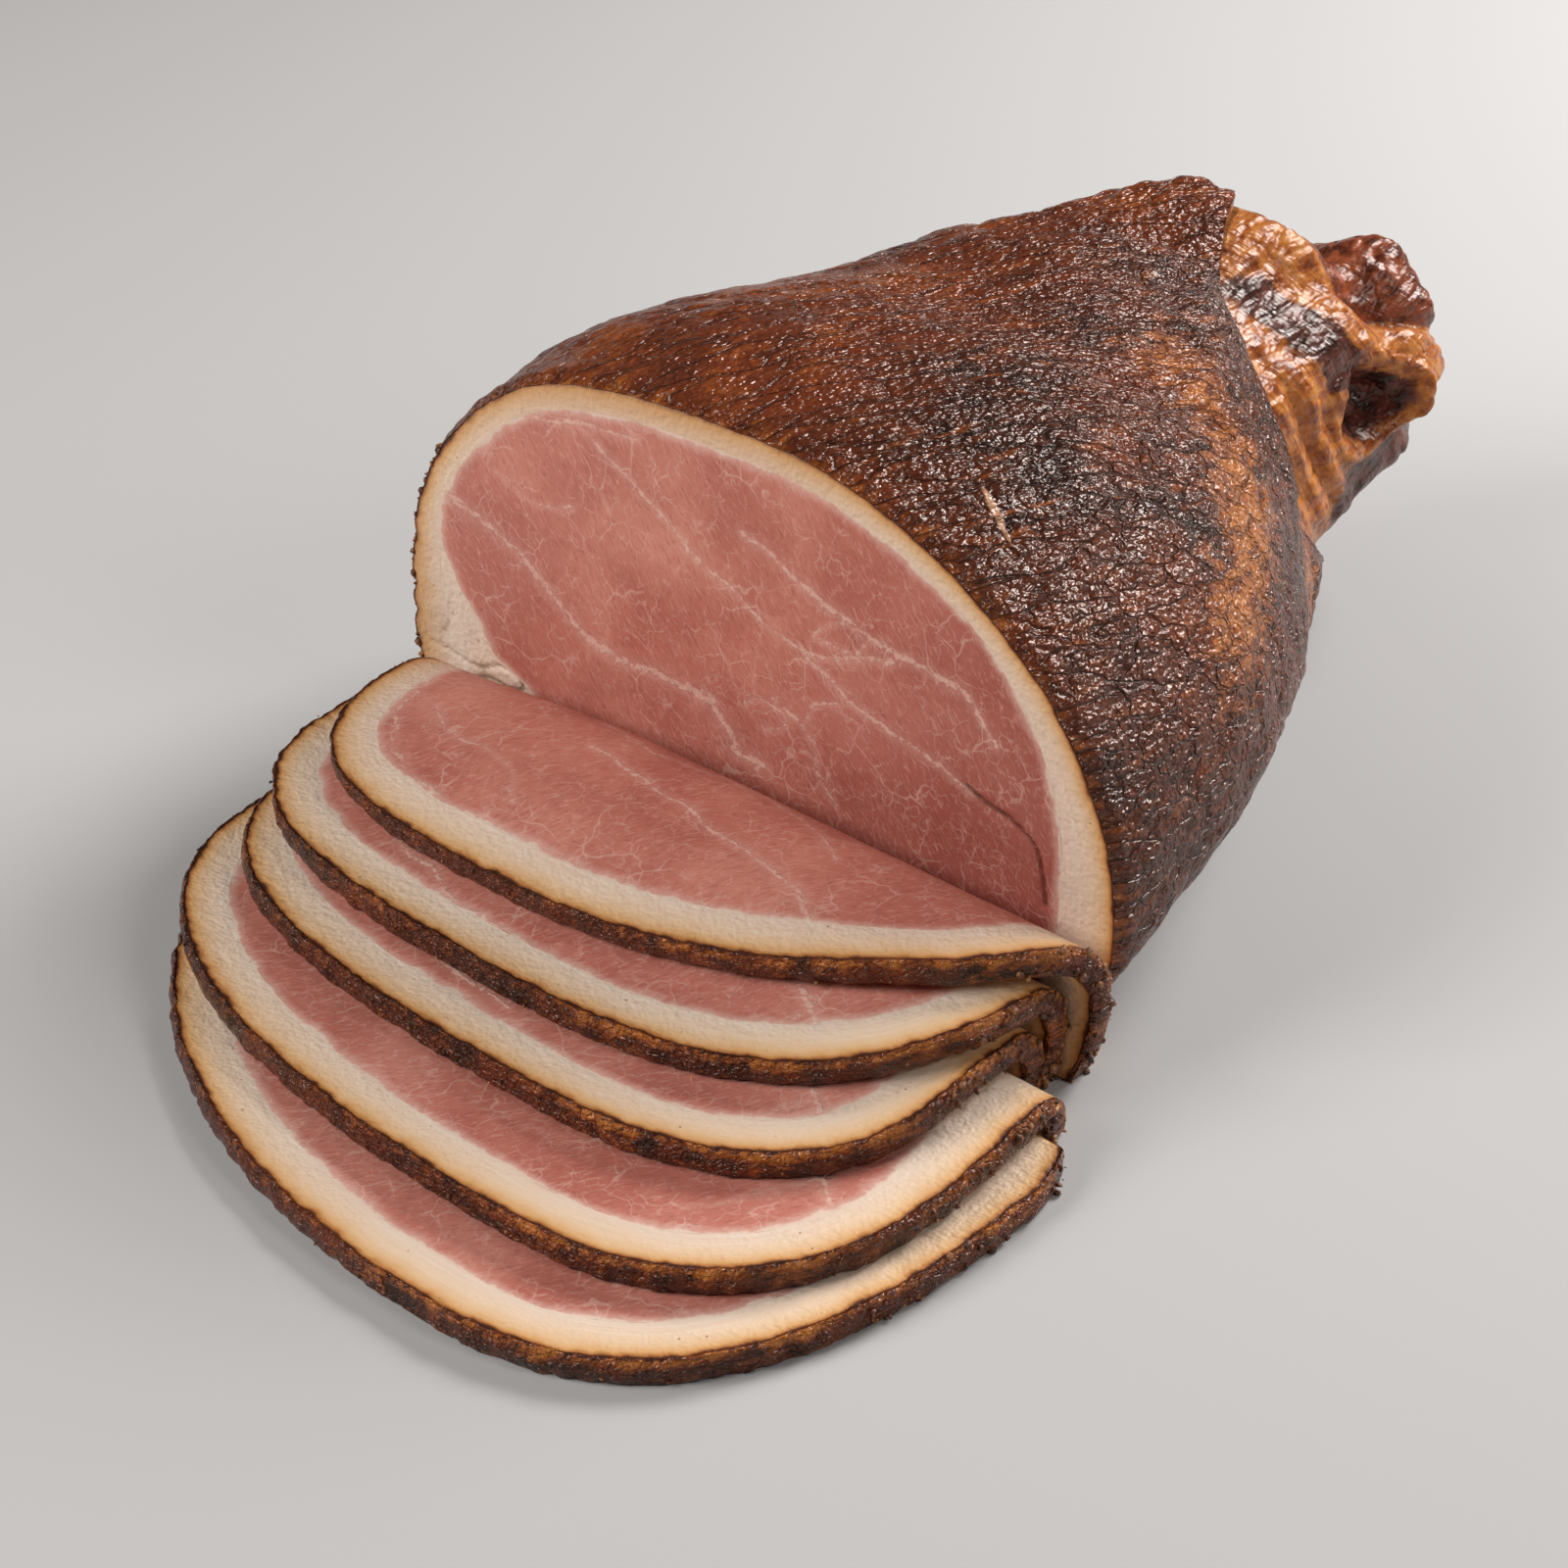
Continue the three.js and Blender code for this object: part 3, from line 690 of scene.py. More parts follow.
def slice_meat(k, place, inner, total):
    middle = np.array([inner[:, 0].min() + inner[:, 0].max(), 0.9 * total]) / 2
    centre = np.broadcast_to(middle, inner.shape)
    steps = np.linspace(0, 1, 64)
    sheet = blend_rings(centre, inner, steps)
    ones = np.ones(sheet.shape[:2])
    top = place(sheet, ones)
    height = 0.22 * soft_noise(top, 13, 50 + k) + 0.1 * soft_noise(top, 3.2, 51 + k)
    top[..., 2] += height * (1 - ease(steps, 0.97, 1))[:, None]
    wall = place(np.broadcast_to(inner, (3,) + inner.shape), np.array([0.5, 0, -0.5])[:, None] * ones[:1])
    under_steps = np.linspace(1, 0, 12)
    under = place(blend_rings(centre, inner, under_steps), -np.ones((12, len(inner))))
    shift = np.array([11.0 * (k - 4), 3.0 * (4 - k)])
    seams = seam_distance(sheet + shift, SLICE_SEAMS, 2.0)
    rings = np.concatenate([top, wall, under])
    far = np.full((len(wall) + len(under), len(inner)), FAR)
    rim_gap = (1 - steps)[:, None] * np.linalg.norm(inner - middle, axis=1)[None, :]
    return grid_body(f"slice_{k + 1}_meat", rings, {
        "seam": np.concatenate([seams, far]),
        "rim": np.concatenate([rim_gap, far]),
        # Painted shade: the lower a slice lies under the others, the darker its meat.
        "shade_and_tone": np.full(rings.shape[:2], 0.24 - 0.06 * k),
    })


def slice_fat(k, place, outline, inner, inward, thickness, around):
    ones = np.ones((1, len(outline)))
    spots = np.column_stack([outline, np.full(len(outline), 9.0 * k)])
    edge_noise = 0.5 * soft_noise(spots, 7, 60 + k) + 0.35 * soft_noise(spots, 2.4, 61 + k)
    edge = outline - inward * (edge_noise * ease(outline[:, 1], 2, 14))[:, None]
    levels = np.array([0.97, 0.85, 0.6, 0.3, 0, -0.3, -0.6, -0.85, -0.97])
    wall_sheet = np.stack([edge - inward * (0.9 * (1 - level ** 2) * ease(outline[:, 1], 2, 14))[:, None]
                           for level in levels])
    wall = place(wall_sheet, levels[:, None] * ones)
    outward = np.stack([-inward[:, 0], inward[:, 1], 0 * inward[:, 0]], -1)
    crumb = crumbly(wall, 70 + k) * 0.8 * ease(outline[:, 1], 2, 14)[None, :]
    wall = wall + outward[None] * crumb[..., None]
    wall[..., 2] += 0.25 * soft_noise(wall, 2.2, 75 + k) * (wall[..., 2] > 1)
    under = place(blend_rings(edge + inward * 0.8, inner, np.linspace(0, 1, 6)), -ones.repeat(6, 0))
    lining = place(np.stack([inner, inner]), np.array([-0.4, 0.4])[:, None] * ones)
    top_steps = np.linspace(0, 1, 22)
    top = place(blend_rings(inner, edge + inward * 0.5, top_steps), ones.repeat(22, 0))
    top[..., 2] += 0.14 * soft_noise(top, 5, 80 + k)
    rings = np.concatenate([wall, under, lining, top, wall[:1]])
    plain = np.zeros((len(wall), len(outline)))
    under_depth = np.linspace(0, 1, 6)[:, None] * thickness[None, :]
    depth = np.concatenate([plain, under_depth, ones.repeat(2, 0) * thickness,
                            0.3 + (1 - top_steps)[:, None] * thickness[None, :], plain[:1]])
    return grid_body(f"slice_{k + 1}_fat_and_rind", rings, {
        "depth": depth,
        "along": np.broadcast_to(around[None, :] + 130.0 * k, depth.shape),
        "right": np.broadcast_to(ease(outline[:, 0], 0, 60), depth.shape),
        "level": np.concatenate([levels[:, None] * ones, 0 * depth[len(wall):]]),
    })


slice_pieces = []
slice_rims = []
for k, cut in enumerate(SLICES):
    place, total = slice_placer(k)
    outline, around = slice_outline(cut, total, ROUND_SLICE)
    inward = inward_normals(outline, cut["apex"])
    left_fat = FOOT_FAT + (SLICE_FAT - FOOT_FAT) * ease(outline[:, 1], 2, 0.25 * total)
    right_fat = SLICE_FAT + BROADER_RIGHT * (1 - ease(outline[:, 1], 0.1 * total, 0.6 * total))
    thickness = np.where(outline[:, 0] > cut["apex"], right_fat, left_fat)
    inner = under_slice_fat(outline, inward, thickness)
    meat = slice_meat(k, place, inner, total)
    fat = slice_fat(k, place, outline, inner, inward, thickness, around)
    slice_pieces.append((meat, fat))
    slice_rims.append((place, outline, inward))

# %% [markdown]
# ## Finishes
# A small class keeps a material's nodes readable: it adds a node, sets what is
# fixed and links what varies. Patterns read the Object coordinates, turned into
# millimetres, so that they stay at true scale.

# %% Material helper
class Finish:
    def __init__(self, name):
        self.material = bpy.data.materials.new(name)
        self.material.use_nodes = True
        self.tree = self.material.node_tree
        self.shader = self.tree.nodes["Principled BSDF"]
        self.object_place = self.node("TexCoord").outputs["Object"]

    def node(self, kind, inputs=None, **settings):
        node = self.tree.nodes.new("ShaderNode" + kind)
        for key, value in settings.items():
            setattr(node, key, value)
        for key, value in (inputs or {}).items():
            if isinstance(value, bpy.types.NodeSocket):
                self.tree.links.new(value, node.inputs[key])
            else:
                node.inputs[key].default_value = value
        return node

    def fact(self, name):
        return self.node("Attribute", attribute_name=name).outputs["Fac"]

    def place(self, size, turn=(0, 0, 0), seed=0.0, source=None):
        """Coordinates in which one unit is size mm; size may differ by axis."""
        sizes = size if isinstance(size, tuple) else (size,) * 3
        scale = tuple(1 / (s * MM) for s in sizes)
        turned_place = self.node("Mapping", {
            "Vector": source or self.object_place, "Rotation": tuple(math.radians(t) for t in turn),
        }).outputs[0]
        return self.node("Mapping", {
            "Vector": turned_place, "Scale": scale, "Location": (seed, seed * 2, seed * 3),
        }).outputs[0]

    def noise(self, size, detail=3.0, rough=0.55, turn=(0, 0, 0), seed=0.0, source=None, bend=0.0):
        return self.node("TexNoise", {
            "Vector": self.place(size, turn, seed, source), "Scale": 1.0, "Detail": detail,
            "Roughness": rough, "Distortion": bend,
        }).outputs[0]

    def cells(self, size, feature="DISTANCE_TO_EDGE", turn=(0, 0, 0), seed=0.0, wobble=0.0):
        place = self.place(size, turn, seed)
        if wobble:
            drift = self.node("TexNoise", {"Vector": place, "Scale": 1.4, "Detail": 2.0}).outputs["Color"]
            moved = self.node("VectorMath", {0: drift, 1: (0.5, 0.5, 0.5)}, operation="SUBTRACT").outputs[0]
            scaled = self.node("VectorMath", {0: moved, "Scale": wobble}, operation="SCALE").outputs[0]
            place = self.node("VectorMath", {0: place, 1: scaled}, operation="ADD").outputs[0]
        return self.node("TexVoronoi", {"Vector": place, "Scale": 1.0}, feature=feature).outputs["Distance"]

    def step(self, value, low, high):
        """0 below low, 1 above high, smooth between; low may be above high."""
        return self.node("MapRange", {"Value": value, "From Min": low, "From Max": high},
                         interpolation_type="SMOOTHSTEP").outputs[0]

    def math(self, operation, first, second):
        return self.node("Math", {0: first, 1: second}, operation=operation).outputs[0]

    def times(self, first, second):
        return self.math(operation="MULTIPLY", first=first, second=second)

    def spread(self, value, low, high):
        """A value from 0 to 1, spread from low to high."""
        return self.node("MapRange", {"Value": value, "To Min": low, "To Max": high}).outputs[0]

    def blend(self, share, first, second):
        """First where share is 0 and second where it is 1, for numbers."""
        return self.node("Mix", {0: share, 2: first, 3: second}, data_type="FLOAT").outputs[0]

    def mix(self, share, first, second):
        """First where share is 0 and second where it is 1, for colours."""
        node = self.node("Mix", {0: share}, data_type="RGBA")
        for index, value in ((6, first), (7, second)):
            if isinstance(value, bpy.types.NodeSocket):
                self.tree.links.new(value, node.inputs[index])
            else:
                node.inputs[index].default_value = (*value, 1.0)
        return node.outputs[2]

    def ramp(self, value, stops):
        node = self.node("ValToRGB", {0: value})
        while len(node.color_ramp.elements) < len(stops):
            node.color_ramp.elements.new(0.5)
        for element, (position, colour) in zip(node.color_ramp.elements, stops):
            element.position = position
            element.color = (*colour, 1.0)
        return node.outputs[0]

    def bump(self, height, distance):
        """Bumps in which one unit of height is distance mm."""
        return self.node("Bump", {"Height": height, "Distance": distance * MM, "Strength": 1.0}).outputs[0]

    def set(self, **values):
        for name, value in values.items():
            socket = self.shader.inputs[name.replace("_", " ")]
            if isinstance(value, bpy.types.NodeSocket):
                self.tree.links.new(value, socket)
            else:
                socket.default_value = value


# %% [markdown]
# ### Rind and fat
# One finish covers both, because the depth below the outside tells them apart: a
# dark crust, then amber where smoke has soaked in, then cream fat with thin layers
# that follow the rim. On the outside the rind is mahogany, nearly black in patches
# and amber where it stretches towards the hock.

# %% Rind and fat finish
BLACK_RIND = (0.024, 0.008, 0.005)
DARK_RIND = (0.068, 0.018, 0.009)
MAHOGANY = (0.118, 0.025, 0.009)
RED_RIND = (0.165, 0.031, 0.009)
ORANGE_RIND = (0.310, 0.074, 0.014)
AMBER_RIND = (0.520, 0.170, 0.030)
NICK_FLESH = (0.520, 0.270, 0.160)
PALE_FAT = (0.840, 0.700, 0.580)
DULL_FAT = (0.660, 0.400, 0.250)
SMOKED_FAT = (0.600, 0.310, 0.135)
FISSURE_BROWN = (0.200, 0.100, 0.050)


def rind_colour(f, red, dark, amber):
    """Colour of the rind's outside; red, dark and amber are shares from 0 to 1."""
    patches = f.noise((26, 40, 26), 3, 0.6, seed=1.3)
    fine = f.noise((2.4, 6.0, 2.4), 2, 0.7, seed=4.1)
    tone = f.math("ADD", f.times(patches, 0.7), f.times(fine, 0.5))
    tone = f.math("ADD", tone, f.times(red, 0.14))
    tone = f.math("SUBTRACT", tone, f.times(dark, 0.12))
    base = f.ramp(tone, [
        (0.42, BLACK_RIND), (0.53, DARK_RIND), (0.65, MAHOGANY), (0.78, RED_RIND), (0.93, ORANGE_RIND),
    ])
    streaks = f.noise((3.0, 24, 3.0), 3, 0.65, turn=(0, 0, 12), seed=7.7, bend=0.3)
    golden = f.math("ADD", streaks, f.times(amber, 0.34))
    base = f.mix(f.times(f.step(golden, 0.52, 0.74), 0.8), base, ORANGE_RIND)
    return f.mix(f.times(f.step(golden, 0.66, 0.92), 0.9), base, AMBER_RIND)


def fat_colour(f, depth, along):
    """Crust, amber, cream and nearly white, from the outside in."""
    rim_place = f.node("CombineXYZ", {
        0: f.times(along, MM), 1: f.times(depth, MM),
    }).outputs[0]
    layers = f.noise((26, 0.75, 10), 3, 0.6, source=rim_place)
    wander = f.noise((9, 5, 9), 3, 0.6, seed=2.2)
    moved = f.math("ADD", depth, f.times(f.math("SUBTRACT", wander, 0.5), 3.0))
    colour = f.ramp(f.math("DIVIDE", moved, 12.0), [
        (0.00, (0.030, 0.010, 0.006)), (0.045, (0.095, 0.026, 0.010)), (0.085, (0.44, 0.165, 0.042)),
        (0.16, (0.68, 0.365, 0.145)), (0.30, (0.76, 0.490, 0.275)), (0.52, (0.80, 0.580, 0.400)),
        (0.85, (0.79, 0.610, 0.480)),
    ])
    deep_in = f.step(depth, 3.0, 8.0)
    streak = f.times(f.step(layers, 0.50, 0.70), f.times(deep_in, 0.50))
    colour = f.mix(streak, colour, PALE_FAT)
    dull = f.times(f.step(layers, 0.45, 0.30), f.times(deep_in, 0.26))
    colour = f.mix(dull, colour, DULL_FAT)
    pores = f.step(f.cells(7.0, "F1", seed=4.0), 0.055, 0.02)
    return f.mix(f.times(pores, 0.8), colour, FISSURE_BROWN)


def rind_and_fat_finish(name, on_slice):
    f = Finish(name)
    depth = f.fact("depth")
    if on_slice:
        red = f.noise((14, 14, 14), 2, seed=9.0)
        right = f.fact("right")
        amber = f.math("ADD", f.noise(15, 3, seed=5.5), f.times(right, 0.16))
        amber = f.times(f.step(amber, 0.56, 0.84), 0.45)
        # Painted light: the rind band is lighter and more amber along the slice's upper edge, where the
        # light from above falls, and darker along its lower edge.
        lit_upper_edge = f.times(f.step(f.fact("level"), 0.1, 1.0), f.math("ADD", right, 0.35))
        amber = f.math("ADD", amber, f.times(lit_upper_edge, 0.5))
        dark = f.math("ADD", f.step(f.noise((8, 8, 12), 3, seed=6.5), 0.42, 0.60), 0.25)
        plate_size, fold_size, fold_share = (1.5, 1.5, 1.2), (7, 7, 3), 0.35
    else:
        red, dark, amber = f.fact("red"), f.fact("dark"), f.fact("amber")
        plate_size, fold_size, fold_share = (1.9, 3.4, 1.9), (7, 34, 7), 0.8
    rind = rind_colour(f, red, dark, amber)
    plate_gap = f.cells(plate_size, turn=(0, 0, 20), seed=1.0, wobble=0.5)
    plates = f.step(plate_gap, 0.0, 0.40)
    fold_lines = f.step(f.cells(fold_size, turn=(0, 0, 25), seed=2.0, wobble=0.9), 0.06, 0.0)
    folds = f.times(fold_lines, fold_share)
    # Nearly black lines: the crust's own cracks between its plates, and painted shade down the creases of
    # the folds.
    cracks_and_fold_shade = f.math("MAXIMUM", f.times(f.step(plate_gap, 0.12, 0.0), 0.55), folds)
    crack_and_shade_share = f.math("SUBTRACT", 0.70, f.times(amber, 0.42))
    rind = f.mix(f.times(cracks_and_fold_shade, crack_and_shade_share), rind, BLACK_RIND)
    fat = fat_colour(f, depth, f.fact("along"))
    inside = f.step(depth, 0.12, 0.5)
    if not on_slice:
        rind = f.mix(f.step(f.fact("nick"), 1.2, 0.7), rind, NICK_FLESH)
        smoke = f.times(amber, f.step(depth, 16.0, 3.0))
        fat = f.mix(f.times(smoke, 0.82), fat, SMOKED_FAT)
        fissure = f.step(f.fact("fissure"), 0.35, 0.9)
        fat = f.mix(f.times(fissure, 0.7), fat, FISSURE_BROWN)
    f.set(Base_Color=f.mix(inside, rind, fat))
    pebbles = f.noise((1.5, 2.3, 1.5), 1.0, 0.5, seed=8.0)
    raised = f.math("ADD", f.times(pebbles, 1.25), f.times(plates, 0.38))
    rind_height = f.math("SUBTRACT", raised, f.times(folds, 0.9))
    fat_height = f.times(f.noise(1.8, 1.0, 0.65, seed=3.3), 0.5)
    f.set(Normal=f.bump(f.blend(inside, rind_height, fat_height), 1.0))
    rind_rough = f.spread(f.noise(6, 3, 0.6, seed=5.1), 0.12, 0.36)
    f.set(Roughness=f.blend(inside, rind_rough, 0.46))
    f.set(Specular_IOR_Level=0.5, Specular_Tint=(1.0, 0.78, 0.68, 1.0))
    return f.material


ham_rind_finish = rind_and_fat_finish("ham rind and fat", False)
slice_rind_finish = rind_and_fat_finish("slice rind and fat", True)
print("finish:", ham_rind_finish.name)

# %% [markdown]
# ### Cured meat
# Cut meat is rose pink, with short pale fibres, a net of fine marbling and pale
# seams round each muscle. It is darker towards the right and bottom of the face,
# partly as painted shade, and on the lower slices as painted shade. The bare hock
# is another surface: smoked tendon, golden and glossy, with dark dried meat
# between, and painted shade on its underside.

# %% Meat finish
PALE_FLECK = (0.780, 0.420, 0.330)
# Dark red meat, for the dark fibres and for the painted shade low on the face and on the lower slices.
SHADE_AND_DARK_FIBRE = (0.330, 0.082, 0.062)
MARBLING = (0.820, 0.530, 0.430)
INNER_FAT = (0.800, 0.620, 0.500)
CREASE_SHADE = (0.100, 0.024, 0.016)


def cut_meat(f, fibre_size, fibre_turn):
    """Colour, roughness and height of a cut through cured meat."""
    colour = f.ramp(f.noise(30, 3, 0.5, seed=1.0), [
        (0.36, (0.500, 0.155, 0.112)), (0.52, (0.590, 0.205, 0.150)), (0.66, (0.660, 0.255, 0.190)),
    ])
    # Painted shade: darker where the shade-and-tone fact is high; on the face it is partly the meat's own
    # darker tone.
    colour = f.mix(f.times(f.fact("shade_and_tone"), 0.78), colour, SHADE_AND_DARK_FIBRE)
    fibres = f.noise(fibre_size, 2, 0.65, turn=fibre_turn, seed=2.0)
    colour = f.mix(f.times(f.step(fibres, 0.54, 0.70), 0.36), colour, PALE_FLECK)
    colour = f.mix(f.times(f.step(fibres, 0.46, 0.30), 0.38), colour, SHADE_AND_DARK_FIBRE)
    for size, width, share, seed in ((12, 0.026, 0.46, 3.0), (6, 0.036, 0.36, 5.0), (3, 0.060, 0.24, 7.0)):
        net = f.step(f.cells(size, seed=seed, wobble=0.65), width, 0.0)
        shown = f.step(f.noise(size * 1.3, 3, 0.6, seed=seed + 1), 0.45, 0.60)
        colour = f.mix(f.times(f.times(net, shown), share), colour, MARBLING)
    ragged = f.times(f.math("SUBTRACT", f.noise(1.8, 2, 0.75, seed=6.0), 0.5), 3.2)
    seam_gap = f.math("ADD", f.fact("seam"), ragged)
    halo = f.step(seam_gap, 4.0, 0.5)
    seam = f.step(seam_gap, 0.95, 0.15)
    colour = f.mix(f.times(halo, 0.16), colour, MARBLING)
    colour = f.mix(f.times(seam, 0.62), colour, MARBLING)
    wander = f.times(f.math("SUBTRACT", f.noise(9, 3, 0.6, seed=9.0), 0.5), 5.0)
    rim_gap = f.math("ADD", f.fact("rim"), f.math("ADD", f.times(ragged, 0.5), wander))
    colour = f.mix(f.times(f.step(rim_gap, 3.4, 0.2), 0.55), colour, MARBLING)
    colour = f.mix(f.times(f.step(rim_gap, 0.9, 0.1), 0.85), colour, INNER_FAT)
    roughness = f.spread(fibres, 0.34, 0.52)
    height = f.math("ADD", f.times(fibres, 0.7), f.times(seam, 0.25))
    return colour, roughness, height


def bare_hock(f):
    """Colour, roughness and height of smoked tendon and dried meat."""
    across_strands = f.times(f.fact("strand"), MM)
    along_strands = f.times(f.fact("side"), 0.6 * MM)
    strand_place = f.node("CombineXYZ", {0: across_strands, 1: along_strands}).outputs[0]
    strands = f.noise((4.0, 26, 10), 4, 0.6, seed=11.0, bend=0.3, source=strand_place)
    spots = f.noise((4, 6, 4), 3, 0.65, seed=13.0)
    colour = f.ramp(f.math("ADD", f.times(strands, 0.4), f.times(spots, 0.6)), [
        (0.38, (0.140, 0.028, 0.008)), (0.46, (0.310, 0.080, 0.016)), (0.54, (0.480, 0.155, 0.030)),
        (0.66, (0.590, 0.245, 0.065)),
    ])
    zones = (
        # This zone is the band of dark dried meat and painted shade on the hock's underside.
        ("dark_meat_and_shade", 0.30, 0.60, [(0.38, (0.036, 0.012, 0.008)), (0.64, (0.140, 0.040, 0.026))]),
        ("cap", 0.30, 0.62, [(0.36, (0.075, 0.016, 0.009)), (0.62, (0.300, 0.070, 0.024))]),
        # Painted shade in the hollow, over the dried meat's dark colour.
        ("pit", 0.25, 0.70, [(0.38, (0.018, 0.007, 0.005)), (0.66, (0.170, 0.036, 0.022))]),
    )
    edge_noise = f.math("SUBTRACT", f.noise(5, 4, 0.65, seed=12.0), 0.5)
    for zone, low, high, stops in zones:
        share = f.step(f.math("ADD", f.fact(zone), f.times(edge_noise, 0.9)), low, high)
        colour = f.mix(share, colour, f.ramp(spots, stops))
    roughness = f.spread(spots, 0.20, 0.38)
    grain = f.noise((1.9, 3.6, 1.9), 1.0, 0.5, seed=15.0)
    height = f.math("ADD", f.times(strands, 1.8), f.times(grain, 1.5))
    return colour, roughness, height


def set_meat(f, colour, roughness, height):
    f.set(Base_Color=colour, Roughness=roughness, Normal=f.bump(height, 0.45))
    f.set(Specular_IOR_Level=0.45, Specular_Tint=(1.0, 0.84, 0.76, 1.0))
    return f.material


def ham_meat_material():
    f = Finish("ham meat")
    bare = f.step(f.fact("bare"), 0.4, 0.6)
    cut_colour, cut_rough, cut_height = cut_meat(f, (0.8, 0.8, 3.2), (0, 35, 0))
    # Painted shade: dark brown down the open crease between two muscles.
    open_crease = f.step(f.fact("crease"), 1.1, 0.3)
    cut_colour = f.mix(f.times(open_crease, 0.85), cut_colour, CREASE_SHADE)
    hock_colour, hock_rough, hock_height = bare_hock(f)
    roughness = f.blend(bare, cut_rough, hock_rough)
    height = f.blend(bare, cut_height, hock_height)
    return set_meat(f, f.mix(bare, cut_colour, hock_colour), roughness, height)


def slice_meat_material():
    f = Finish("slice meat")
    return set_meat(f, *cut_meat(f, (0.8, 3.2, 0.8), (0, 0, 30)))


ham_meat_finish = ham_meat_material()
slice_meat_finish = slice_meat_material()
print("finish:", ham_meat_finish.name)

# %% [markdown]
# ## Crumbs
# Where the knife broke the dry rind, small crumbs cling to its edge: along the
# slices' outer ends and down the left side of the cut. One lump is modelled from
# an icosphere, and copies of it are set along those edges and joined.

# %% Crumbs along the broken rind
rng = np.random.default_rng(7)
# how many crumbs, and the size of the largest in mm
RIGHT_CRUMBS = (110, 1.25)
LEFT_CRUMBS = (70, 0.9)
EDGE_CRUMBS = (150, 0.65)
FACE_CRUMBS = (190, 1.3)


def lump():
    bpy.ops.object.select_all(action="DESELECT")
    bpy.ops.mesh.primitive_ico_sphere_add(subdivisions=1, radius=1)
    piece = bpy.context.object
    corners = np.array([v.co for v in piece.data.vertices])
    faces = np.array([p.vertices for p in piece.data.polygons])
    bpy.data.objects.remove(piece)
    return corners * (1 + 0.55 * soft_noise(corners, 0.7, 90))[:, None], faces


def random_turn():
    turn = rng.normal(size=4)
    w, x, y, z = turn / np.linalg.norm(turn)
    return np.array([
        [1 - 2 * (y * y + z * z), 2 * (x * y - z * w), 2 * (x * z + y * w)],
        [2 * (x * y + z * w), 1 - 2 * (x * x + z * z), 2 * (y * z - x * w)],
        [2 * (x * z - y * w), 2 * (y * z + x * w), 1 - 2 * (x * x + y * y)],
    ])


def crumbs(name, spots, sizes):
    """Copies of the lump at spots in mm, each turned, stretched and sized."""
    corners, faces = lump()
    every = []
    for spot, size in zip(spots, sizes):
        shape = corners * rng.uniform(0.55, 1.25, 3) * size
        every.append(shape @ random_turn().T + spot)
    points = (np.concatenate(every) + SHIFT) * MM
    points[:, 2] = np.maximum(points[:, 2], 0.0)
    offsets = np.repeat(np.arange(len(every)) * len(corners), len(faces))[:, None]
    mesh = bpy.data.meshes.new(name)
    mesh.from_pydata(points.tolist(), [], (np.tile(faces, (len(every), 1)) + offsets).tolist())
    piece = bpy.data.objects.new(name, mesh)
    bpy.context.scene.collection.objects.link(piece)
    mesh.polygons.foreach_set("use_smooth", [True] * len(mesh.polygons))
    print(name, "crumbs:", len(every))
    return piece


spots, sizes = [], []
for place, outline, inward in slice_rims:
    total = outline[:, 1].max()
    right_end = (outline[:, 0] > outline[:, 0].max() - 14) & (outline[:, 1] < 0.55 * total)
    left_end = (outline[:, 0] < outline[:, 0].min() + 26) & (outline[:, 1] < 0.6 * total)
    zones = ((right_end, RIGHT_CRUMBS), (left_end, LEFT_CRUMBS), (outline[:, 1] > 8, EDGE_CRUMBS))
    for zone, (count, biggest) in zones:
        chosen = rng.choice(np.flatnonzero(zone), count)
        level = rng.uniform(-0.9, 0.9, count)
        sheet = outline[chosen] - inward[chosen] * rng.uniform(-0.2, 0.9, count)[:, None]
        spots.append(place(sheet, level))
        sizes.append(rng.uniform(0.3, 1, count) ** 2 * biggest)
count, biggest = FACE_CRUMBS
edge_angle = np.radians(rng.uniform(150, 212, count))
edge_share = rng.uniform(0, 1, count) ** 2 * 0.03
spots.append(skin_points(edge_share, edge_angle))
sizes.append(rng.uniform(0.3, 1, count) ** 2 * biggest)
crumb_piece = crumbs("rind_crumbs", np.concatenate(spots), np.concatenate(sizes))

# %% Crumb finish
f = Finish("rind crumbs")
crumb_colour = f.ramp(f.noise(4.5, 3, 0.6, seed=2.0), [
    (0.34, (0.030, 0.012, 0.008)), (0.50, (0.15, 0.045, 0.016)), (0.66, (0.42, 0.18, 0.06)),
])
f.set(Base_Color=crumb_colour, Roughness=0.42, Normal=f.bump(f.noise(0.9, 4, 0.6), 0.3))
crumb_finish = f.material
print("finish:", crumb_finish.name)

# %% [markdown]
# ## Handing the pieces to the frame
# Each piece rides on the one body and stands for its solid.

# %% Pieces and their solids
def hand_over(piece, finish, slot, *nodes):
    piece.data.materials.clear()
    piece.data.materials.append(finish)
    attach(piece, "root")
    if nodes:
        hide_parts(*nodes)


hand_over(ham_rind, ham_rind_finish, "rind_and_fat", "ham_fat")
hand_over(ham_meat, ham_meat_finish, "ham_meat", "ham_lean")
for k, (meat, fat) in enumerate(slice_pieces):
    hand_over(meat, slice_meat_finish, "slice_meat", f"slice_{k + 1}_lean")
    hand_over(fat, slice_rind_finish, "slice_fat", f"slice_{k + 1}_fat")
hand_over(crumb_piece, crumb_finish, "slice_fat")
print("pieces:", 3 + 2 * len(SLICES))

# %% [markdown]
# ## Floor, light and camera
# The floor is plain and pale. A soft light stands high behind the ham and gives
# the rind its sheen. One in front fills the cut face, and a faint one the right.

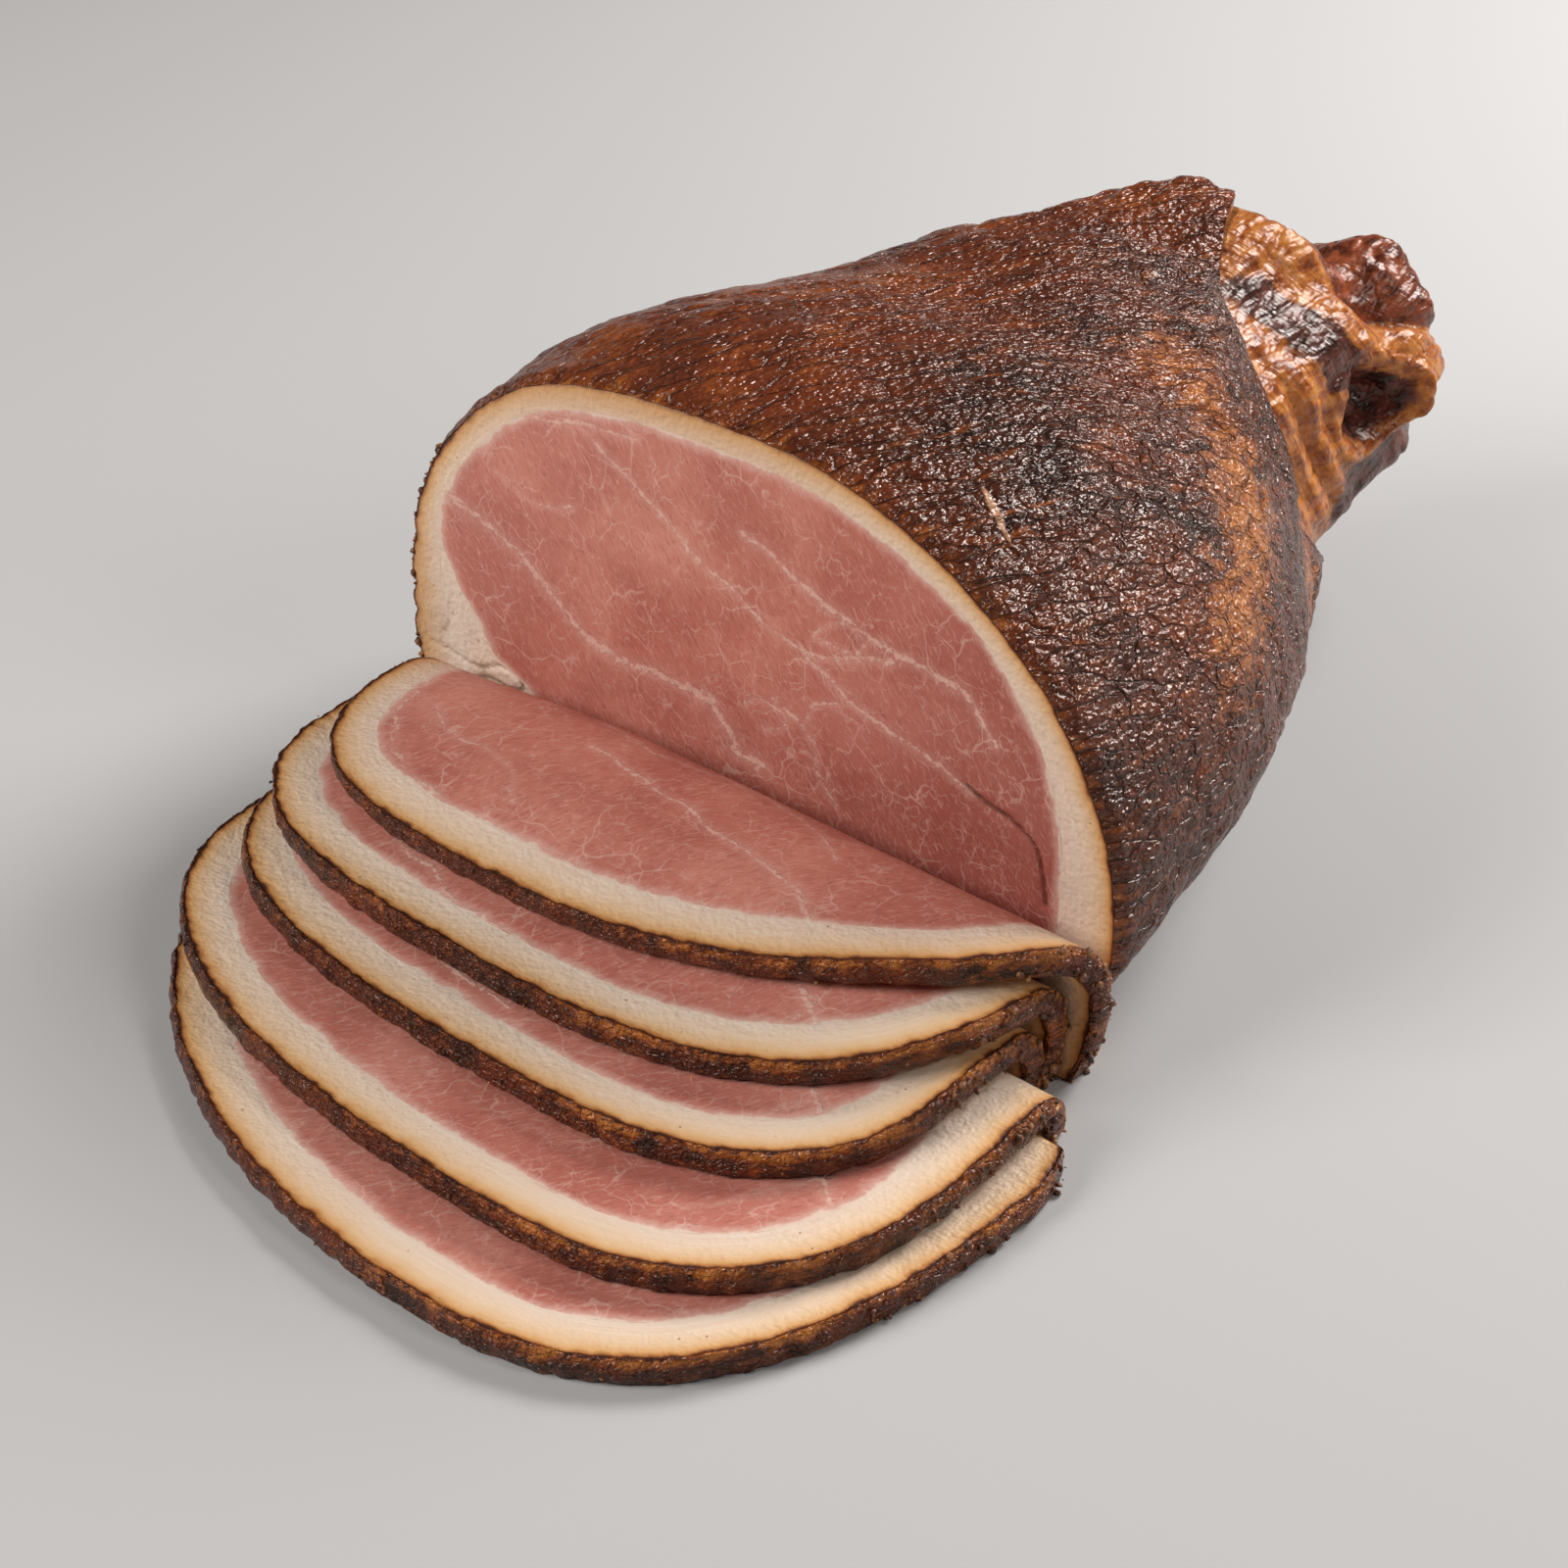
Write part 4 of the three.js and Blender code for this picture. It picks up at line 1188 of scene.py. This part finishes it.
# %% Floor
FLOOR_SIZE = 4.0
bpy.ops.object.select_all(action="DESELECT")
bpy.ops.mesh.primitive_plane_add(size=FLOOR_SIZE, location=(0, 0, -0.0002))
floor = bpy.context.object
floor.name = "floor"
floor_finish = Finish("pale floor")
floor_finish.set(Base_Color=(0.49, 0.472, 0.460, 1.0), Roughness=0.9)
floor.data.materials.append(floor_finish.material)
print("floor:", FLOOR_SIZE, "m")

# %% Lights
def soft_light(name, place, aim, size, power):
    """A rectangular light that faces its aim, in metres and watts."""
    bpy.ops.object.light_add(type="AREA", location=place)
    light = bpy.context.object
    light.name = name
    light.data.shape = "RECTANGLE"
    light.data.size, light.data.size_y = size
    light.data.energy = power
    light.rotation_euler = (Vector(aim) - Vector(place)).to_track_quat("-Z", "Y").to_euler()


soft_light("sky panel", (0.24, 1.05, 0.85), (0, 0.05, 0.05), (0.65, 0.5), 22)
soft_light("front panel", (-0.55, -1.05, 0.85), (0, -0.05, 0.05), (0.8, 0.7), 15)
soft_light("right panel", (1.05, 0.1, 0.85), (0.0, 0.05, 0.06), (0.35, 0.5), 4)
world = bpy.data.worlds.new("studio")
world.use_nodes = True
world.node_tree.nodes["Background"].inputs["Color"].default_value = (1, 1, 1, 1)
world.node_tree.nodes["Background"].inputs["Strength"].default_value = 0.06
bpy.context.scene.world = world
bpy.context.scene.view_settings.view_transform = "Standard"

# %% [markdown]
# The camera stands where the photo was taken from: 84 cm from the ham, 33 degrees
# above the table and 41 degrees to the right of the cut face's axis.

# %% Camera
CAMERA_DISTANCE = 840
CAMERA_RISE = math.radians(33)
CAMERA_TURN = math.radians(41)
CAMERA_AIM = np.array([-21.9, 41.0, 0.0])
FOCAL_PIXELS = 3514
FRAME_PIXELS = 1600
back = np.array([
    math.sin(CAMERA_TURN) * math.cos(CAMERA_RISE),
    -math.cos(CAMERA_TURN) * math.cos(CAMERA_RISE),
    math.sin(CAMERA_RISE),
])
camera_data = bpy.data.cameras.new("camera")
camera_data.lens = camera_data.sensor_width * FOCAL_PIXELS / FRAME_PIXELS
camera = bpy.data.objects.new("camera", camera_data)
bpy.context.scene.collection.objects.link(camera)
camera.location = Vector((CAMERA_AIM + CAMERA_DISTANCE * back + SHIFT) * MM)
camera.rotation_euler = Vector(back).to_track_quat("Z", "Y").to_euler()
bpy.context.scene.camera = camera
print("lens:", round(camera_data.lens, 2), "mm")
